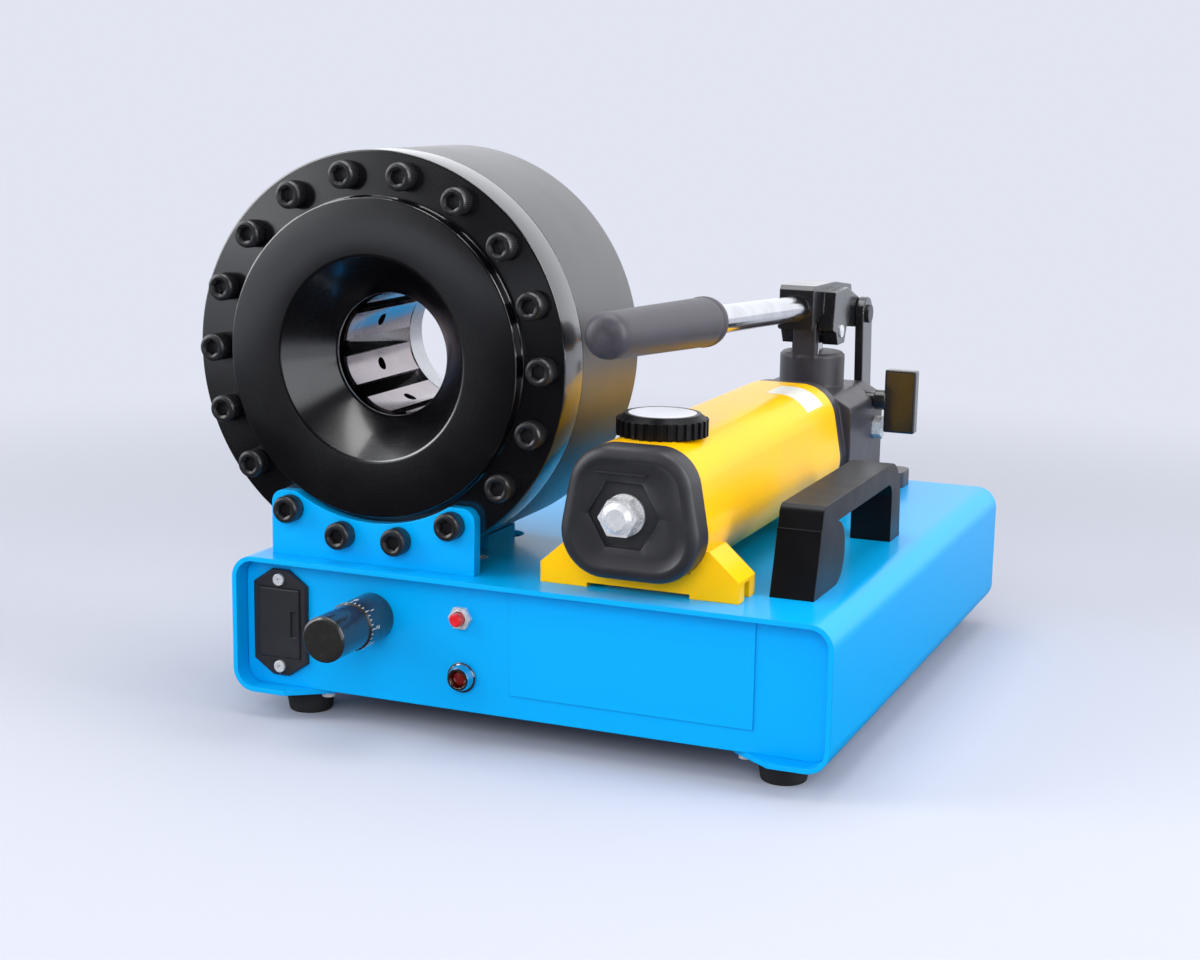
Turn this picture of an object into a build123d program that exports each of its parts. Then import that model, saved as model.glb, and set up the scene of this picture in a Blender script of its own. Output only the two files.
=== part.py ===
from build123d import *
import os
from math import atan2, cos, degrees, hypot, radians, sin, tan

# Hydraulic hose crimping machine: a crimp head and a hand pump on a sheet-steel base.
# Millimetres, +Z up. Datum while modelling: X = 0 in the middle of the base,
# Y = 0 at its front rim, Z = 0 on the floor. The front of the machine faces -Y.

# --- clearances ---
SHEET_GAP = 0.4        # between a panel and the shell round it
SEAT_GAP = 0.2         # between parts that bolt up face to face without sharing a face
SCREW_GAP = 0.05       # radial, screw in its tapped hole
RUN_GAP = 0.05         # radial, running fits
SIDE_GAP = 0.3         # beside a part that swings or slides

# --- base ---
FOOT_H = 16.0
FOOT_TOP_R = 16.0
FOOT_LOW_R = 13.0
FOOT_INSET = 35.0
BASE_W = 375.0
BASE_D = 416.0
BASE_H = 84.0
SHEET = 3.0
BEND_R = 14.0
LIP_W = 60.0           # inward flange along the bottom of each side
LIP_CUT_W = 25.0       # the flange's corners are cut off at both ends
LIP_CUT_D = 18.0
PANEL_INSET = 12.0
PANEL_T = 2.0
PANEL_LIP = 14.0
BASE_TOP = FOOT_H + BASE_H

# --- crimp head, its axis along Y ---
HEAD_X = -100.0
FLANGE_R = 120.0
HEAD_RISE = FLANGE_R + 2   # axis above the base top
FLANGE_T = 25.0
HEAD_L = 112.0         # front flange and cylinder together
BOSS_R = FLANGE_R - 26.5
BOSS_H = 8.5
FUNNEL_R = 60.0
THROAT_R = 36.5
THROAT_Y = 17.5
THROAT_LAND = 2.6
BORE_R = FLANGE_R - 23     # cylinder bore
END_WALL = 16.0
BOLT_N = 18
BOLT_PCD = 2 * (FLANGE_R - 13)
M10_R, M10_HEAD_R, M10_HEAD_H, M10_HEX = 5.0, 8.0, 10.0, 8.0
FLANGE_SCREW_L = 42.0
BRACKET_T = 8.0
BRACKET_W = 135.0
BRACKET_TOP = FLANGE_R - 37.5   # below the head's axis
BRACKET_ARC_GAP = 3.5
BRACKET_FOOT = 60.0
CORNER_R = 8.0

# --- dies: eight segments between two cones ---
DIE_N = 8
DIE_BORE_R = 36.0      # open
DIE_L = 80.0
DIE_FRONT = 27.0       # behind the flange's front face, open
DIE_OUT_R = BORE_R - 17
DIE_NOSE = 10.0        # flat end face between the bore and the cone
DIE_IN = 12.5          # radial travel
DIE_FWD = 9.0          # axial travel
DIE_PIN_R = 4.0
SPRING_R = 5.0
SPRING_AT_R = 62.0
PISTON_BACK = 95.5
ROD_R = DIE_OUT_R - 12
ROD_BORE_R = 38.0
ROD_END = 132.0
PISTON_STROKE = 2 * DIE_FWD
CONE = DIE_IN / DIE_FWD

# --- stroke arm and dial ---
ARM_T = 3.0
ARM_W = 24.0
ARM_RING_R = 56.0
DIAL_DX = 1.5
DIAL_Z = 69.0
SLEEVE_R = 14.5
SLEEVE_L = 27.0
THIMBLE_R = 13.6
THIMBLE_L = 31.0
SPINDLE_R = 4.0
SPINDLE_IN = 30.0      # behind the panel
SPINDLE_TRAVEL = 10.0
ROD_TIP_GAP = 2.0      # left between rod and spindle with both at their ends

# --- hand pump ---
PUMP_X = HEAD_X + FLANGE_R + 46
PUMP_Y = 22.0          # front of the foot and of the reservoir
TANK_L = 262.0
TANK_LOW = 10.0        # above the base top
TANK_H = 75.5
TANK_LOW_W = 93.0
TANK_TOP_W = 66.0
TANK_LOW_R = 26.0
TANK_TOP_R = 24.0
TANK_WALL = 4.0
PUMP_FOOT_W = 120.0
PUMP_FOOT_D = 28.0
PUMP_FOOT_EDGE = 12.0
CAP_L = 18.0
TIE_Z = 47.0           # above the base top
TIE_X = PUMP_X - 3.4
TIE_R = 5.0
TIE_HEX = 20.0
FILL_Y = 33.6          # behind the foot's front
FILL_R = 26.5
FILL_H = 12.5
BODY_L = 126.0
BODY_W = 88.0
BODY_H = 76.0
RAM_Y = 328.0          # plunger axis behind the foot's front
RAM_R = 7.0
BOSS_TOP = 99.0        # plunger boss above the base top
PUMP_BOSS_R = 22.5
PIN_UP = 114.0         # plunger pin above the base top
PIN_R = 4.5
LINK_DY = 46.0         # upper link pin behind the plunger pin
LINK_DZ = 8.0          # and above it
LINK_LEAN = 6.0        # lower link pin behind the upper one
LINK_DROP = 84.0       # and below it
LINK_T = 6.0
LINK_R = 12.0
YOKE_EYE_R = 9.0
YOKE_W = 40.0
BEAM_W = 24.0
BEAM_H = 29.0
HANDLE_TILT = 3.15     # degrees, front end up
TUBE_R = 8.8
TUBE_Y0, TUBE_Z0 = 290.0, 132.5   # a point on the handle's axis
TUBE_FRONT = -59.0
GRIP_REAR = 102.0
GRIP_R0, GRIP_R1 = 15.2, 12.8
KNOB_Y, KNOB_UP = 335.0, 67.0
KNOB_BAR = (44.0, 10.0, 22.0)
PLUG_Y, PLUG_UP = 338.0, 47.0

# --- carry handle ---
GRAB_X = PUMP_X + 83
GRAB_W = 26.0
GRAB_Y0, GRAB_Y1 = 46.0, 235.0
GRAB_H = 51.0
GRAB_BAR = 13.0
LUG_H = 38.0

# --- panel fittings ---
BATT_X, BATT_Z = 27.5 - BASE_W / 2, 58.5
BATT_W, BATT_H = 37.0, 66.0
BUTTON_X, BUTTON_Z = -39.6, 75.5
BUTTON_TRAVEL = 1.5
LAMP_X, LAMP_Z = -38.5, 39.8
PLATE_X0, PLATE_X1 = -8.0, 140.0
PLATE_Z0, PLATE_Z1 = 32.5, 96.0

# --- worked out from the sizes above ---
HEAD_Z = BASE_TOP + HEAD_RISE
PANEL_Y = PANEL_INSET
BRACKET_Y = PANEL_Y + PANEL_T + SEAT_GAP
HEAD_Y = BRACKET_Y + BRACKET_T
DIAL_X = HEAD_X + DIAL_DX
TANK_Y1 = PUMP_Y + TANK_L
RAM_AT = PUMP_Y + RAM_Y
PIN_Z = BASE_TOP + PIN_UP
TOP_PIN_Y, TOP_PIN_Z = RAM_AT + LINK_DY, PIN_Z + LINK_DZ
LOW_PIN_Y, LOW_PIN_Z = TOP_PIN_Y + LINK_LEAN, TOP_PIN_Z - LINK_DROP
HEAD = Pos(HEAD_X, HEAD_Y, HEAD_Z)
FACE_FRONT = Rot(X=90)     # turns a part's own +Z towards the front, -Y

os.makedirs("parts", exist_ok=True)
NODES = {}


def keep(name, *shapes):
    solids = [s for shape in shapes for s in shape.solids()]
    NODES[name] = solids[0] if len(solids) == 1 else Compound(children=solids)


def turned_y(points):
    """Revolve (radius, y) points about the Y axis."""
    return revolve(make_face(Polyline(*points, close=True)), Axis.Y)


def turned_z(points):
    """Revolve (radius, z) points about the Z axis."""
    return revolve(make_face(Plane.XZ * Polyline(*points, close=True)), Axis.Z)


def along_x(length, radius):
    """A round bar along X, centred on the origin."""
    return Rot(Y=90) * Cylinder(radius, length)


def box(x0, x1, y0, y1, z0, z1):
    return Pos((x0 + x1) / 2, (y0 + y1) / 2, (z0 + z1) / 2) * Box(x1 - x0, y1 - y0, z1 - z0)


def plate_yz(outline, x0, x1):
    """Extrude a sketch drawn in (y, z) from x0 to x1."""
    return Pos(x0, 0, 0) * extrude(Plane.YZ * outline, amount=x1 - x0)


def hex_prism(across, height, bore=0):
    prism = extrude(RegularPolygon(across / 2, 6, major_radius=False), amount=height)
    return prism - Cylinder(bore, 3 * height) if bore else prism


def socket_screw(radius, head_r, head_h, length, hex_af):
    """Cap screw: underside of the head at z = 0, head up, shank down."""
    rim = head_h / 10
    head = turned_z([(0, 0), (head_r, 0), (head_r, head_h - rim), (head_r - rim, head_h), (0, head_h)])
    socket = Pos(0, 0, head_h / 2) * hex_prism(hex_af, head_h)
    return head + Pos(0, 0, -length / 2) * Cylinder(radius - SCREW_GAP, length) - socket


def countersunk_screw(radius, head_r, head_h, length, hex_af):
    """Countersunk screw: top of the head at z = 0, shank down."""
    body = turned_z([(0, 0), (head_r, 0), (radius - SCREW_GAP, -head_h), (radius - SCREW_GAP, -length),
            (0, -length)])
    return body - Pos(0, 0, -head_h / 2) * hex_prism(hex_af, head_h)


def clock(angle, radius):
    """Place on the head at a clock angle from the top, seen from the front."""
    return Pos(radius * sin(radians(angle)), 0, radius * cos(radians(angle)))


def bolt_angles():
    step = 360 / BOLT_N
    return [step / 2 + step * i for i in range(BOLT_N)]


def on_bracket(angle):
    return 140 < angle < 220


# ---------------------------------------------------------------- base

def base_section(inset):
    return RectangleRounded(BASE_W - 2 * inset, BASE_H - 2 * inset, BEND_R - inset)


def lip_end_cut(side, front):
    """Triangle that takes the inner corner off a bottom flange."""
    x_in = side * (BASE_W / 2 - LIP_W)
    x_cut = side * (BASE_W / 2 - LIP_W + LIP_CUT_W)
    y_end = 0 if front else BASE_D
    y_in = LIP_CUT_D if front else BASE_D - LIP_CUT_D
    corner = make_face(Polyline((x_in, y_end), (x_cut, y_end), (x_in, y_in), close=True))
    return Pos(0, 0, FOOT_H - 1) * extrude(corner, amount=SHEET + 2)


FOOT_SPOTS = [
    (side * (BASE_W / 2 - FOOT_INSET), y) for side in (-1, 1) for y in (FOOT_INSET - 3, BASE_D - FOOT_INSET)
]
BRACKET_SCREWS = [(HEAD_X + dx, BRACKET_Y + dy) for dx in (-48, 48) for dy in (24, 46)]
SADDLE_SCREWS = [HEAD_Y + 70, HEAD_Y + 86]
PORT_X, PORT_Y = HEAD_X + 35, HEAD_Y + HEAD_L - END_WALL / 2 - 1
OUTLET_X, OUTLET_Y, OUTLET_Z = PUMP_X - BODY_W / 2 - 13, TANK_Y1 + 40, BASE_TOP + 36
PUMP_SCREWS = [(PUMP_X + dx, PUMP_Y + 14) for dx in (-50, 50)] + [(PUMP_X + dx,
        TANK_Y1 + BODY_L - 15) for dx in (-50, 50)]
GRAB_SCREWS = [(GRAB_X, GRAB_Y0 + 22), (GRAB_X, GRAB_Y1 - 12)]
PANEL_SCREWS = [side * (BASE_W / 2 - LIP_W + 6) for side in (-1, 1)]
ARM_SLOT = (HEAD_Y + ROD_END - PISTON_STROKE - 1, HEAD_Y + ROD_END + ARM_T + 1)
M6_R, M6_CSK_R, M6_CSK_H = 3.0, 6.0, 2.9
CLEAR = 0.3            # radial, clearance holes in sheet and flanges
PIPE_R = 4.0
FITTING_R = 9.0
GROMMET_R = 12.0


def through_top(x, y, radius):
    return Pos(x, y, BASE_TOP) * Cylinder(radius, 4 * SHEET)


def countersink():
    mouth, hole = M6_CSK_R + RUN_GAP, M6_R + CLEAR
    return turned_z([(0, 1), (mouth, 1), (mouth, 0), (hole, -M6_CSK_H), (hole, -2 * SHEET),
            (0, -2 * SHEET)])


def base_shell():
    section = base_section(0) - base_section(SHEET)
    gap = Pos(0, -BASE_H / 2) * Rectangle(BASE_W - 2 * LIP_W, 4 * SHEET)
    shell = Pos(0, 0, FOOT_H + BASE_H / 2) * extrude(Plane.XZ * (section - gap), amount=-BASE_D)
    for side in (-1, 1):
        shell -= lip_end_cut(side, True) + lip_end_cut(side, False)
    slot_w = BRACKET_W / 2 + SEAT_GAP
    shell -= box(HEAD_X - slot_w, HEAD_X + slot_w, BRACKET_Y - SEAT_GAP, HEAD_Y + SEAT_GAP,
            BASE_TOP - 2 * SHEET, BASE_TOP + 1)
    for x, y in BRACKET_SCREWS:
        shell -= Pos(x, y, BASE_TOP) * countersink()
    for y in SADDLE_SCREWS:
        shell -= through_top(HEAD_X, y, M10_R + CLEAR)
    shell -= through_top(PORT_X, PORT_Y, GROMMET_R)
    shell -= through_top(OUTLET_X, OUTLET_Y, GROMMET_R - 3)
    for x, y in PUMP_SCREWS + GRAB_SCREWS:
        shell -= through_top(x, y, M6_R + CLEAR)
    half = ARM_W / 2 + 2
    shell -= box(HEAD_X - half, HEAD_X + half, *ARM_SLOT, BASE_TOP - 2 * SHEET, BASE_TOP + 1)
    for x, y in FOOT_SPOTS:
        shell -= Pos(x, y, FOOT_H) * Cylinder(M6_R + CLEAR, 4 * SHEET)
    for x in PANEL_SCREWS:
        for y in (PANEL_Y + 9, BASE_D - PANEL_Y - 9):
            shell -= Pos(x, y, FOOT_H) * Cylinder(2.5 + CLEAR, 4 * SHEET)
    return shell


def panel_blank():
    """Face sheet with its lower lip, front face at y = 0."""
    wide = BASE_W - 2 * SHEET - 2 * SHEET_GAP
    tall = BASE_H - 2 * SHEET - SHEET_GAP
    face = RectangleRounded(wide, tall, BEND_R - SHEET - SHEET_GAP)
    z_low = FOOT_H + SHEET
    sheet = Pos(0, 0, z_low + tall / 2) * extrude(Plane.XZ * face, amount=-PANEL_T)
    flat = wide / 2 - BEND_R
    lip = box(-flat, flat, PANEL_T, PANEL_LIP, z_low, z_low + PANEL_T)
    for x in PANEL_SCREWS:
        lip -= Pos(x, 9, z_low) * Cylinder(2.5, 4 * PANEL_T)
    return sheet + lip


def front_panel():
    panel = Pos(0, PANEL_Y, 0) * panel_blank()
    through = 3 * PANEL_T
    cut = box(BATT_X - 14.5, BATT_X + 14.5, PANEL_Y - 1, PANEL_Y + through, BATT_Z - 22.5, BATT_Z + 22.5)
    for dz in (-BATT_H / 2 + 6, BATT_H / 2 - 6):
        cut += Pos(BATT_X, PANEL_Y, BATT_Z + dz) * FACE_FRONT * Cylinder(2, through)
    for x, z, r in ((DIAL_X, DIAL_Z, 9), (BUTTON_X, BUTTON_Z, 5), (LAMP_X, LAMP_Z, 6.5)):
        cut += Pos(x, PANEL_Y, z) * FACE_FRONT * Cylinder(r, through)
    return panel - cut


def rear_panel():
    return Pos(0, BASE_D - PANEL_Y, 0) * Rot(Z=180) * panel_blank()


def head_bracket():
    """Upright plate with a foot that bolts up under the base top."""
    z_low = BASE_TOP - SHEET - BRACKET_T
    z_top = HEAD_Z - BRACKET_TOP
    face = Pos(0, (z_low + z_top) / 2) * Rectangle(BRACKET_W, z_top - z_low)
    face = fillet(face.vertices().sort_by(Axis.Y)[-2:], CORNER_R)
    face -= Pos(0, HEAD_Z) * Circle(BOSS_R + BRACKET_ARC_GAP)
    upright = Pos(HEAD_X, BRACKET_Y, 0) * extrude(Plane.XZ * face, amount=-BRACKET_T)
    for angle in filter(on_bracket, bolt_angles()):
        upright -= HEAD * clock(angle, BOLT_PCD / 2) * FACE_FRONT * Cylinder(M10_R + 0.5, 4 * BRACKET_T)
    foot = box(HEAD_X - BRACKET_W / 2, HEAD_X + BRACKET_W / 2, HEAD_Y, BRACKET_Y + BRACKET_FOOT, z_low,
            z_low + BRACKET_T)
    for x, y in BRACKET_SCREWS:
        foot -= Pos(x, y, z_low) * Cylinder(M6_R, 4 * BRACKET_T)
    return upright + foot


def rubber_foot():
    body = turned_z([(0, 0), (FOOT_LOW_R, 0), (FOOT_TOP_R, FOOT_H), (0, FOOT_H)])
    return body - Cylinder(M6_R + CLEAR, 3 * FOOT_H) - Cylinder(6.2, 2 * 7)


def foot_screw():
    """Pan-head screw up through the foot and the flange, with its nut on top."""
    screw = Pos(0, 0, 5) * Cylinder(5.2, 4) + Pos(0, 0, 15) * Cylinder(M6_R - SCREW_GAP, 18)
    return screw + Pos(0, 0, FOOT_H + SHEET) * hex_prism(10, 5)


def head_saddle():
    """Cradle block between the cylinder and the base top."""
    block = box(HEAD_X - 45, HEAD_X + 45, SADDLE_SCREWS[0] - 12, SADDLE_SCREWS[1] + 10, BASE_TOP,
            BASE_TOP + 9)
    block -= HEAD * FACE_FRONT * Cylinder(FLANGE_R, 4 * HEAD_L)
    block -= Pos(PORT_X, PORT_Y, BASE_TOP) * Cylinder(GROMMET_R, 40)
    for y in SADDLE_SCREWS:
        block -= Pos(HEAD_X, y, BASE_TOP) * Cylinder(M10_R + CLEAR, 40)
    return block


def flipped(screw):
    return Rot(X=180) * screw


keep("base_shell", base_shell())
keep("front_panel", front_panel())
keep("rear_panel", rear_panel())
keep("cover_plate", box(PLATE_X0, PLATE_X1, PANEL_Y - 1, PANEL_Y, PLATE_Z0, PLATE_Z1))
keep("head_bracket", head_bracket())
keep("rubber_feet", *[Pos(x, y, 0) * rubber_foot() for x, y in FOOT_SPOTS])
keep("foot_screws", *[Pos(x, y, 0) * foot_screw() for x, y in FOOT_SPOTS])
keep("head_saddle", head_saddle())
m6_csk = countersunk_screw(M6_R, M6_CSK_R, M6_CSK_H, SHEET + BRACKET_T, 4)
m10_low = socket_screw(M10_R, M10_HEAD_R, M10_HEAD_H, 18, M10_HEX)
m5_low = socket_screw(2.5, 4.2, 3, SHEET + PANEL_T + 2, 2.5)
keep(
    "base_screws",
    *[Pos(x, y, BASE_TOP) * m6_csk for x, y in BRACKET_SCREWS],
    *[Pos(HEAD_X, y, BASE_TOP - SHEET) * flipped(m10_low) for y in SADDLE_SCREWS],
    *[Pos(x, y, FOOT_H) * flipped(m5_low) for x in PANEL_SCREWS for y in (PANEL_Y + 9,
            BASE_D - PANEL_Y - 9)],
)


# ---------------------------------------------------------------- crimp head

SEAM = FLANGE_T
CONE_R0 = THROAT_R                       # front cone starts at the throat land
CONE_Y0 = THROAT_Y + THROAT_LAND
DIE_NOSE_R = DIE_BORE_R + DIE_NOSE       # where a die's front cone starts, open
FLANK = (DIE_OUT_R - DIE_NOSE_R) / CONE  # length of a die's cone along Y
DIE_BACK = DIE_FRONT + DIE_L


def head_cover():
    """Front flange with the raised boss, the funnel and the front cone."""
    slack = 0.3 / cos(atan2(1, CONE)) if CONE else 0
    cone_at = DIE_FRONT - slack
    r_end = DIE_OUT_R + 6
    y_end = cone_at + (r_end - DIE_NOSE_R) / CONE
    y_throat = cone_at - (DIE_NOSE_R - THROAT_R) / CONE
    spigot = BORE_R - SEAT_GAP
    body = turned_y([
        (THROAT_R, THROAT_Y), (FUNNEL_R, -BOSS_H), (BOSS_R - 1.5, -BOSS_H), (BOSS_R,
                1.5 - BOSS_H), (BOSS_R, 0),
        (FLANGE_R - 1, 0), (FLANGE_R, 1), (FLANGE_R, SEAM), (spigot, SEAM), (spigot, y_end), (r_end, y_end),
        (THROAT_R, y_throat),
    ])
    for angle in bolt_angles():
        body -= clock(angle, BOLT_PCD / 2) * FACE_FRONT * Cylinder(M10_R + 0.5, 4 * FLANGE_T)
    return HEAD * body


def head_cylinder():
    """Cylinder with its end wall, rod bore, bolt holes and oil port."""
    rod_hole = ROD_R + RUN_GAP
    rim = 6.0
    body = turned_y([
        (BORE_R, SEAM), (FLANGE_R, SEAM), (FLANGE_R, HEAD_L - rim), (FLANGE_R - rim * 0.3,
                HEAD_L - rim * 0.3),
        (FLANGE_R - rim, HEAD_L), (rod_hole, HEAD_L), (rod_hole, HEAD_L - END_WALL), (BORE_R,
                HEAD_L - END_WALL),
    ])
    depth = FLANGE_SCREW_L - FLANGE_T + 6
    for angle in bolt_angles():
        body -= Pos(0, SEAM, 0) * clock(angle, BOLT_PCD / 2) * FACE_FRONT * Cylinder(M10_R, 2 * depth)
    body = HEAD * body
    for y in SADDLE_SCREWS:
        body -= Pos(HEAD_X, y, HEAD_Z - FLANGE_R) * Cylinder(M10_R, 30)
    port_z = HEAD_Z - (FLANGE_R**2 - (PORT_X - HEAD_X) ** 2) ** 0.5
    body -= Pos(PORT_X, PORT_Y, port_z) * Cylinder(FITTING_R - 3, 30)
    body -= Pos(PORT_X, PORT_Y, port_z + 24) * Cylinder(2.5, 40)
    body -= Pos(PORT_X, HEAD_Y + HEAD_L - END_WALL + 3, port_z + 38) * FACE_FRONT * Cylinder(2.5, 16)
    return body


def ring_piston():
    """Ring with the rear cone, and the hollow rod behind it."""
    cone_front = DIE_BACK - FLANK                    # the die's rear cone starts here, open
    r_lip = DIE_OUT_R + 4
    y_lip = cone_front - (r_lip - DIE_OUT_R) / CONE + 0.3
    return HEAD * turned_y([
        (r_lip, y_lip), (BORE_R - RUN_GAP, y_lip), (BORE_R - RUN_GAP, PISTON_BACK), (ROD_R, PISTON_BACK),
        (ROD_R, ROD_END), (ROD_BORE_R + 3, ROD_END), (ROD_BORE_R, ROD_END - 3),
        (ROD_BORE_R, DIE_BACK + 0.3 + (DIE_NOSE_R - ROD_BORE_R) / CONE),
        (DIE_NOSE_R, DIE_BACK + 0.3),
    ])


def die_blank():
    """One die at twelve o'clock in the head's own frame, in the open position."""
    profile = turned_y([
        (DIE_BORE_R - DIE_IN, DIE_FRONT), (DIE_NOSE_R - DIE_IN, DIE_FRONT),
        (DIE_OUT_R - DIE_IN, DIE_FRONT + FLANK), (DIE_OUT_R - DIE_IN, DIE_BACK - FLANK),
        (DIE_NOSE_R - DIE_IN, DIE_BACK), (DIE_BORE_R - DIE_IN, DIE_BACK),
    ])
    half = radians(180 / DIE_N) - 0.3 / DIE_OUT_R
    reach = 2 * DIE_OUT_R
    wedge = make_face(Polyline((0, 0), (-reach * tan(half), reach), (reach * tan(half), reach), close=True))
    sector = Pos(0, DIE_FRONT - 5, 0) * extrude(Plane.XZ * wedge, amount=-(DIE_L + 10))
    die = Pos(0, 0, DIE_IN) * (profile & sector)
    die -= Pos(0, (DIE_FRONT + DIE_BACK) / 2, DIE_BORE_R) * Cylinder(DIE_PIN_R, 2 * DIE_PIN_DEPTH)
    die -= Rot(Y=-180 / DIE_N) * across_gap(-2 * DIE_IN, SPRING_SEAT, SPRING_R + 0.5)
    return die - Rot(Y=180 / DIE_N) * across_gap(-SPRING_SEAT - DIE_TRAVEL_X, 2 * DIE_IN, SPRING_R + 0.5)


def across_gap(left, right, radius):
    """Round bar through the gap between two dies, at twelve o'clock; lengths past each flank."""
    x0, x1 = left - DIE_GAP / 2, right + DIE_GAP / 2
    return Pos((x0 + x1) / 2, (DIE_FRONT + DIE_BACK) / 2, SPRING_AT_R) * along_x(x1 - x0, radius)


def die_spring():
    """Wound return spring, as a tube, seated in the flank of the die to its right."""
    x0, x1 = -SPRING_SEAT, SPRING_SEAT - SEAT_GAP
    return across_gap(x0, x1, SPRING_R) - across_gap(x0 - 1, x1 + 1, SPRING_R - 1.5)


DIE_PIN_DEPTH = 12.0
SPRING_SEAT = 8.0
DIE_TRAVEL_X = 2 * DIE_IN * sin(radians(180 / DIE_N)) + 0.6
DIE_GAP = 2 * DIE_IN * sin(radians(180 / DIE_N)) + 0.6 * cos(radians(180 / DIE_N))


def seal_ring(r_out, r_in, y0, y1):
    return HEAD * turned_y([(r_in, y0), (r_out, y0), (r_out, y1), (r_in, y1)])


keep("head_cover", head_cover())
keep("head_cylinder", head_cylinder())
die = die_blank()
die_and_spring = [die, Rot(Y=-180 / DIE_N) * die_spring()]
for i in range(DIE_N):
    keep(f"die_{i + 1}", *[HEAD * Rot(Y=(i + 0.5) * 360 / DIE_N) * piece for piece in die_and_spring])
seal_y = PISTON_BACK - 8
groove = seal_ring(BORE_R + 1, BORE_R - 5, seal_y, seal_y + 5)
keep("ring_piston", ring_piston() - groove)
keep("piston_seal", seal_ring(BORE_R - RUN_GAP, BORE_R - 5, seal_y, seal_y + 5))
rod_seal_y = HEAD_L - END_WALL + 5
rod_groove = seal_ring(ROD_R + 6, ROD_R - 1, rod_seal_y, rod_seal_y + 6)
NODES["head_cylinder"] = NODES["head_cylinder"] - rod_groove
keep("rod_seal", seal_ring(ROD_R + 6, ROD_R + RUN_GAP, rod_seal_y, rod_seal_y + 6))

m10 = FACE_FRONT * socket_screw(M10_R, M10_HEAD_R, M10_HEAD_H, FLANGE_SCREW_L, M10_HEX)
free_angles = [a for a in bolt_angles() if not on_bracket(a)]
held_angles = [a for a in bolt_angles() if on_bracket(a)]
keep("flange_screws", *[HEAD * clock(a, BOLT_PCD / 2) * m10 for a in free_angles])
keep("bracket_screws", *[HEAD * Pos(0, -BRACKET_T, 0) * clock(a, BOLT_PCD / 2) * m10 for a in held_angles])


# ---------------------------------------------------------------- stroke arm and dial

SPINDLE_TIP = PANEL_Y + PANEL_T + SPINDLE_IN
ARM_Y0 = HEAD_Y + ROD_END
TIP_Y = SPINDLE_TIP + SPINDLE_TRAVEL + PISTON_STROKE + ROD_TIP_GAP


def stroke_arm():
    """Ring on the rod's end, a leg down through the base top, and the feeler rod."""
    r_in = ROD_BORE_R + 3
    ring = Pos(0, ROD_END, 0) * turned_y([(r_in, 0), (ARM_RING_R, 0), (ARM_RING_R, ARM_T), (r_in, ARM_T)])
    leg = box(HEAD_X - ARM_W / 2, HEAD_X + ARM_W / 2, ARM_Y0, ARM_Y0 + ARM_T, DIAL_Z - 12,
            HEAD_Z - ARM_RING_R + 6)
    leg -= HEAD * Pos(0, ROD_END, 0) * FACE_FRONT * Cylinder(ARM_RING_R - 4, 4 * ARM_T)
    arm = HEAD * ring + leg
    for angle in ARM_SCREW_ANGLES:
        arm -= HEAD * Pos(0, ROD_END, 0) * clock(angle, ARM_SCREW_R) * FACE_FRONT * Cylinder(2, 4 * ARM_T)
    return arm + Pos(DIAL_X, 0, DIAL_Z) * turned_y([(0, TIP_Y), (4, TIP_Y), (4, ARM_Y0), (0, ARM_Y0)])


ARM_SCREW_ANGLES = (45, 135, 225, 315)
ARM_SCREW_R = (ROD_BORE_R + 3 + ARM_RING_R) / 2
for angle in ARM_SCREW_ANGLES:
    hole = HEAD * Pos(0, ROD_END, 0) * clock(angle, ARM_SCREW_R) * FACE_FRONT * Cylinder(2, 24)
    NODES["ring_piston"] = NODES["ring_piston"] - hole
arm_screw = Rot(X=-90) * socket_screw(2, 3.5, 4, 12, 3)
keep("stroke_arm", stroke_arm())
keep("arm_screws", *[HEAD * Pos(0, ROD_END + ARM_T, 0) * clock(a,
        ARM_SCREW_R) * arm_screw for a in ARM_SCREW_ANGLES])

JOURNAL_R = 8.0
JOURNAL_L = 12.0
DIAL = Pos(DIAL_X, PANEL_Y, DIAL_Z)
bore_r = SPINDLE_R + RUN_GAP
sleeve = turned_y([
    (bore_r, -SLEEVE_L - JOURNAL_L), (JOURNAL_R, -SLEEVE_L - JOURNAL_L), (JOURNAL_R, -SLEEVE_L),
    (SLEEVE_R - 1, -SLEEVE_L), (SLEEVE_R, 1 - SLEEVE_L), (SLEEVE_R, 0), (9, 0), (9, PANEL_T), (12, PANEL_T),
    (12, PANEL_T + 5), (bore_r, PANEL_T + 5),
])
keep("dial_sleeve", DIAL * sleeve)
thimble_end = -SLEEVE_L - THIMBLE_L
thimble_back = -SLEEVE_L - SIDE_GAP
thimble = turned_y([
    (0, thimble_end), (THIMBLE_R - 1.5, thimble_end), (THIMBLE_R, thimble_end + 1.5), (THIMBLE_R,
            thimble_back),
    (JOURNAL_R + RUN_GAP, thimble_back), (JOURNAL_R + RUN_GAP, thimble_back - JOURNAL_L - 1), (0,
            thimble_back - JOURNAL_L - 1),
])
keep("dial_thimble", DIAL * thimble)
spindle_front = -SLEEVE_L - JOURNAL_L
keep("dial_spindle", DIAL * turned_y([(0, spindle_front), (SPINDLE_R, spindle_front),
        (SPINDLE_R, PANEL_T + SPINDLE_IN), (0, PANEL_T + SPINDLE_IN)]))


# ---------------------------------------------------------------- panel fittings

BEZEL_T = 3.0
DOOR_W, DOOR_H, DOOR_T = 28.0, 43.0, 2.0
TRAY_L = 56.0
TRAY_WALL = 1.2
CELL = (17.5, 48.5, 26.5)


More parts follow.
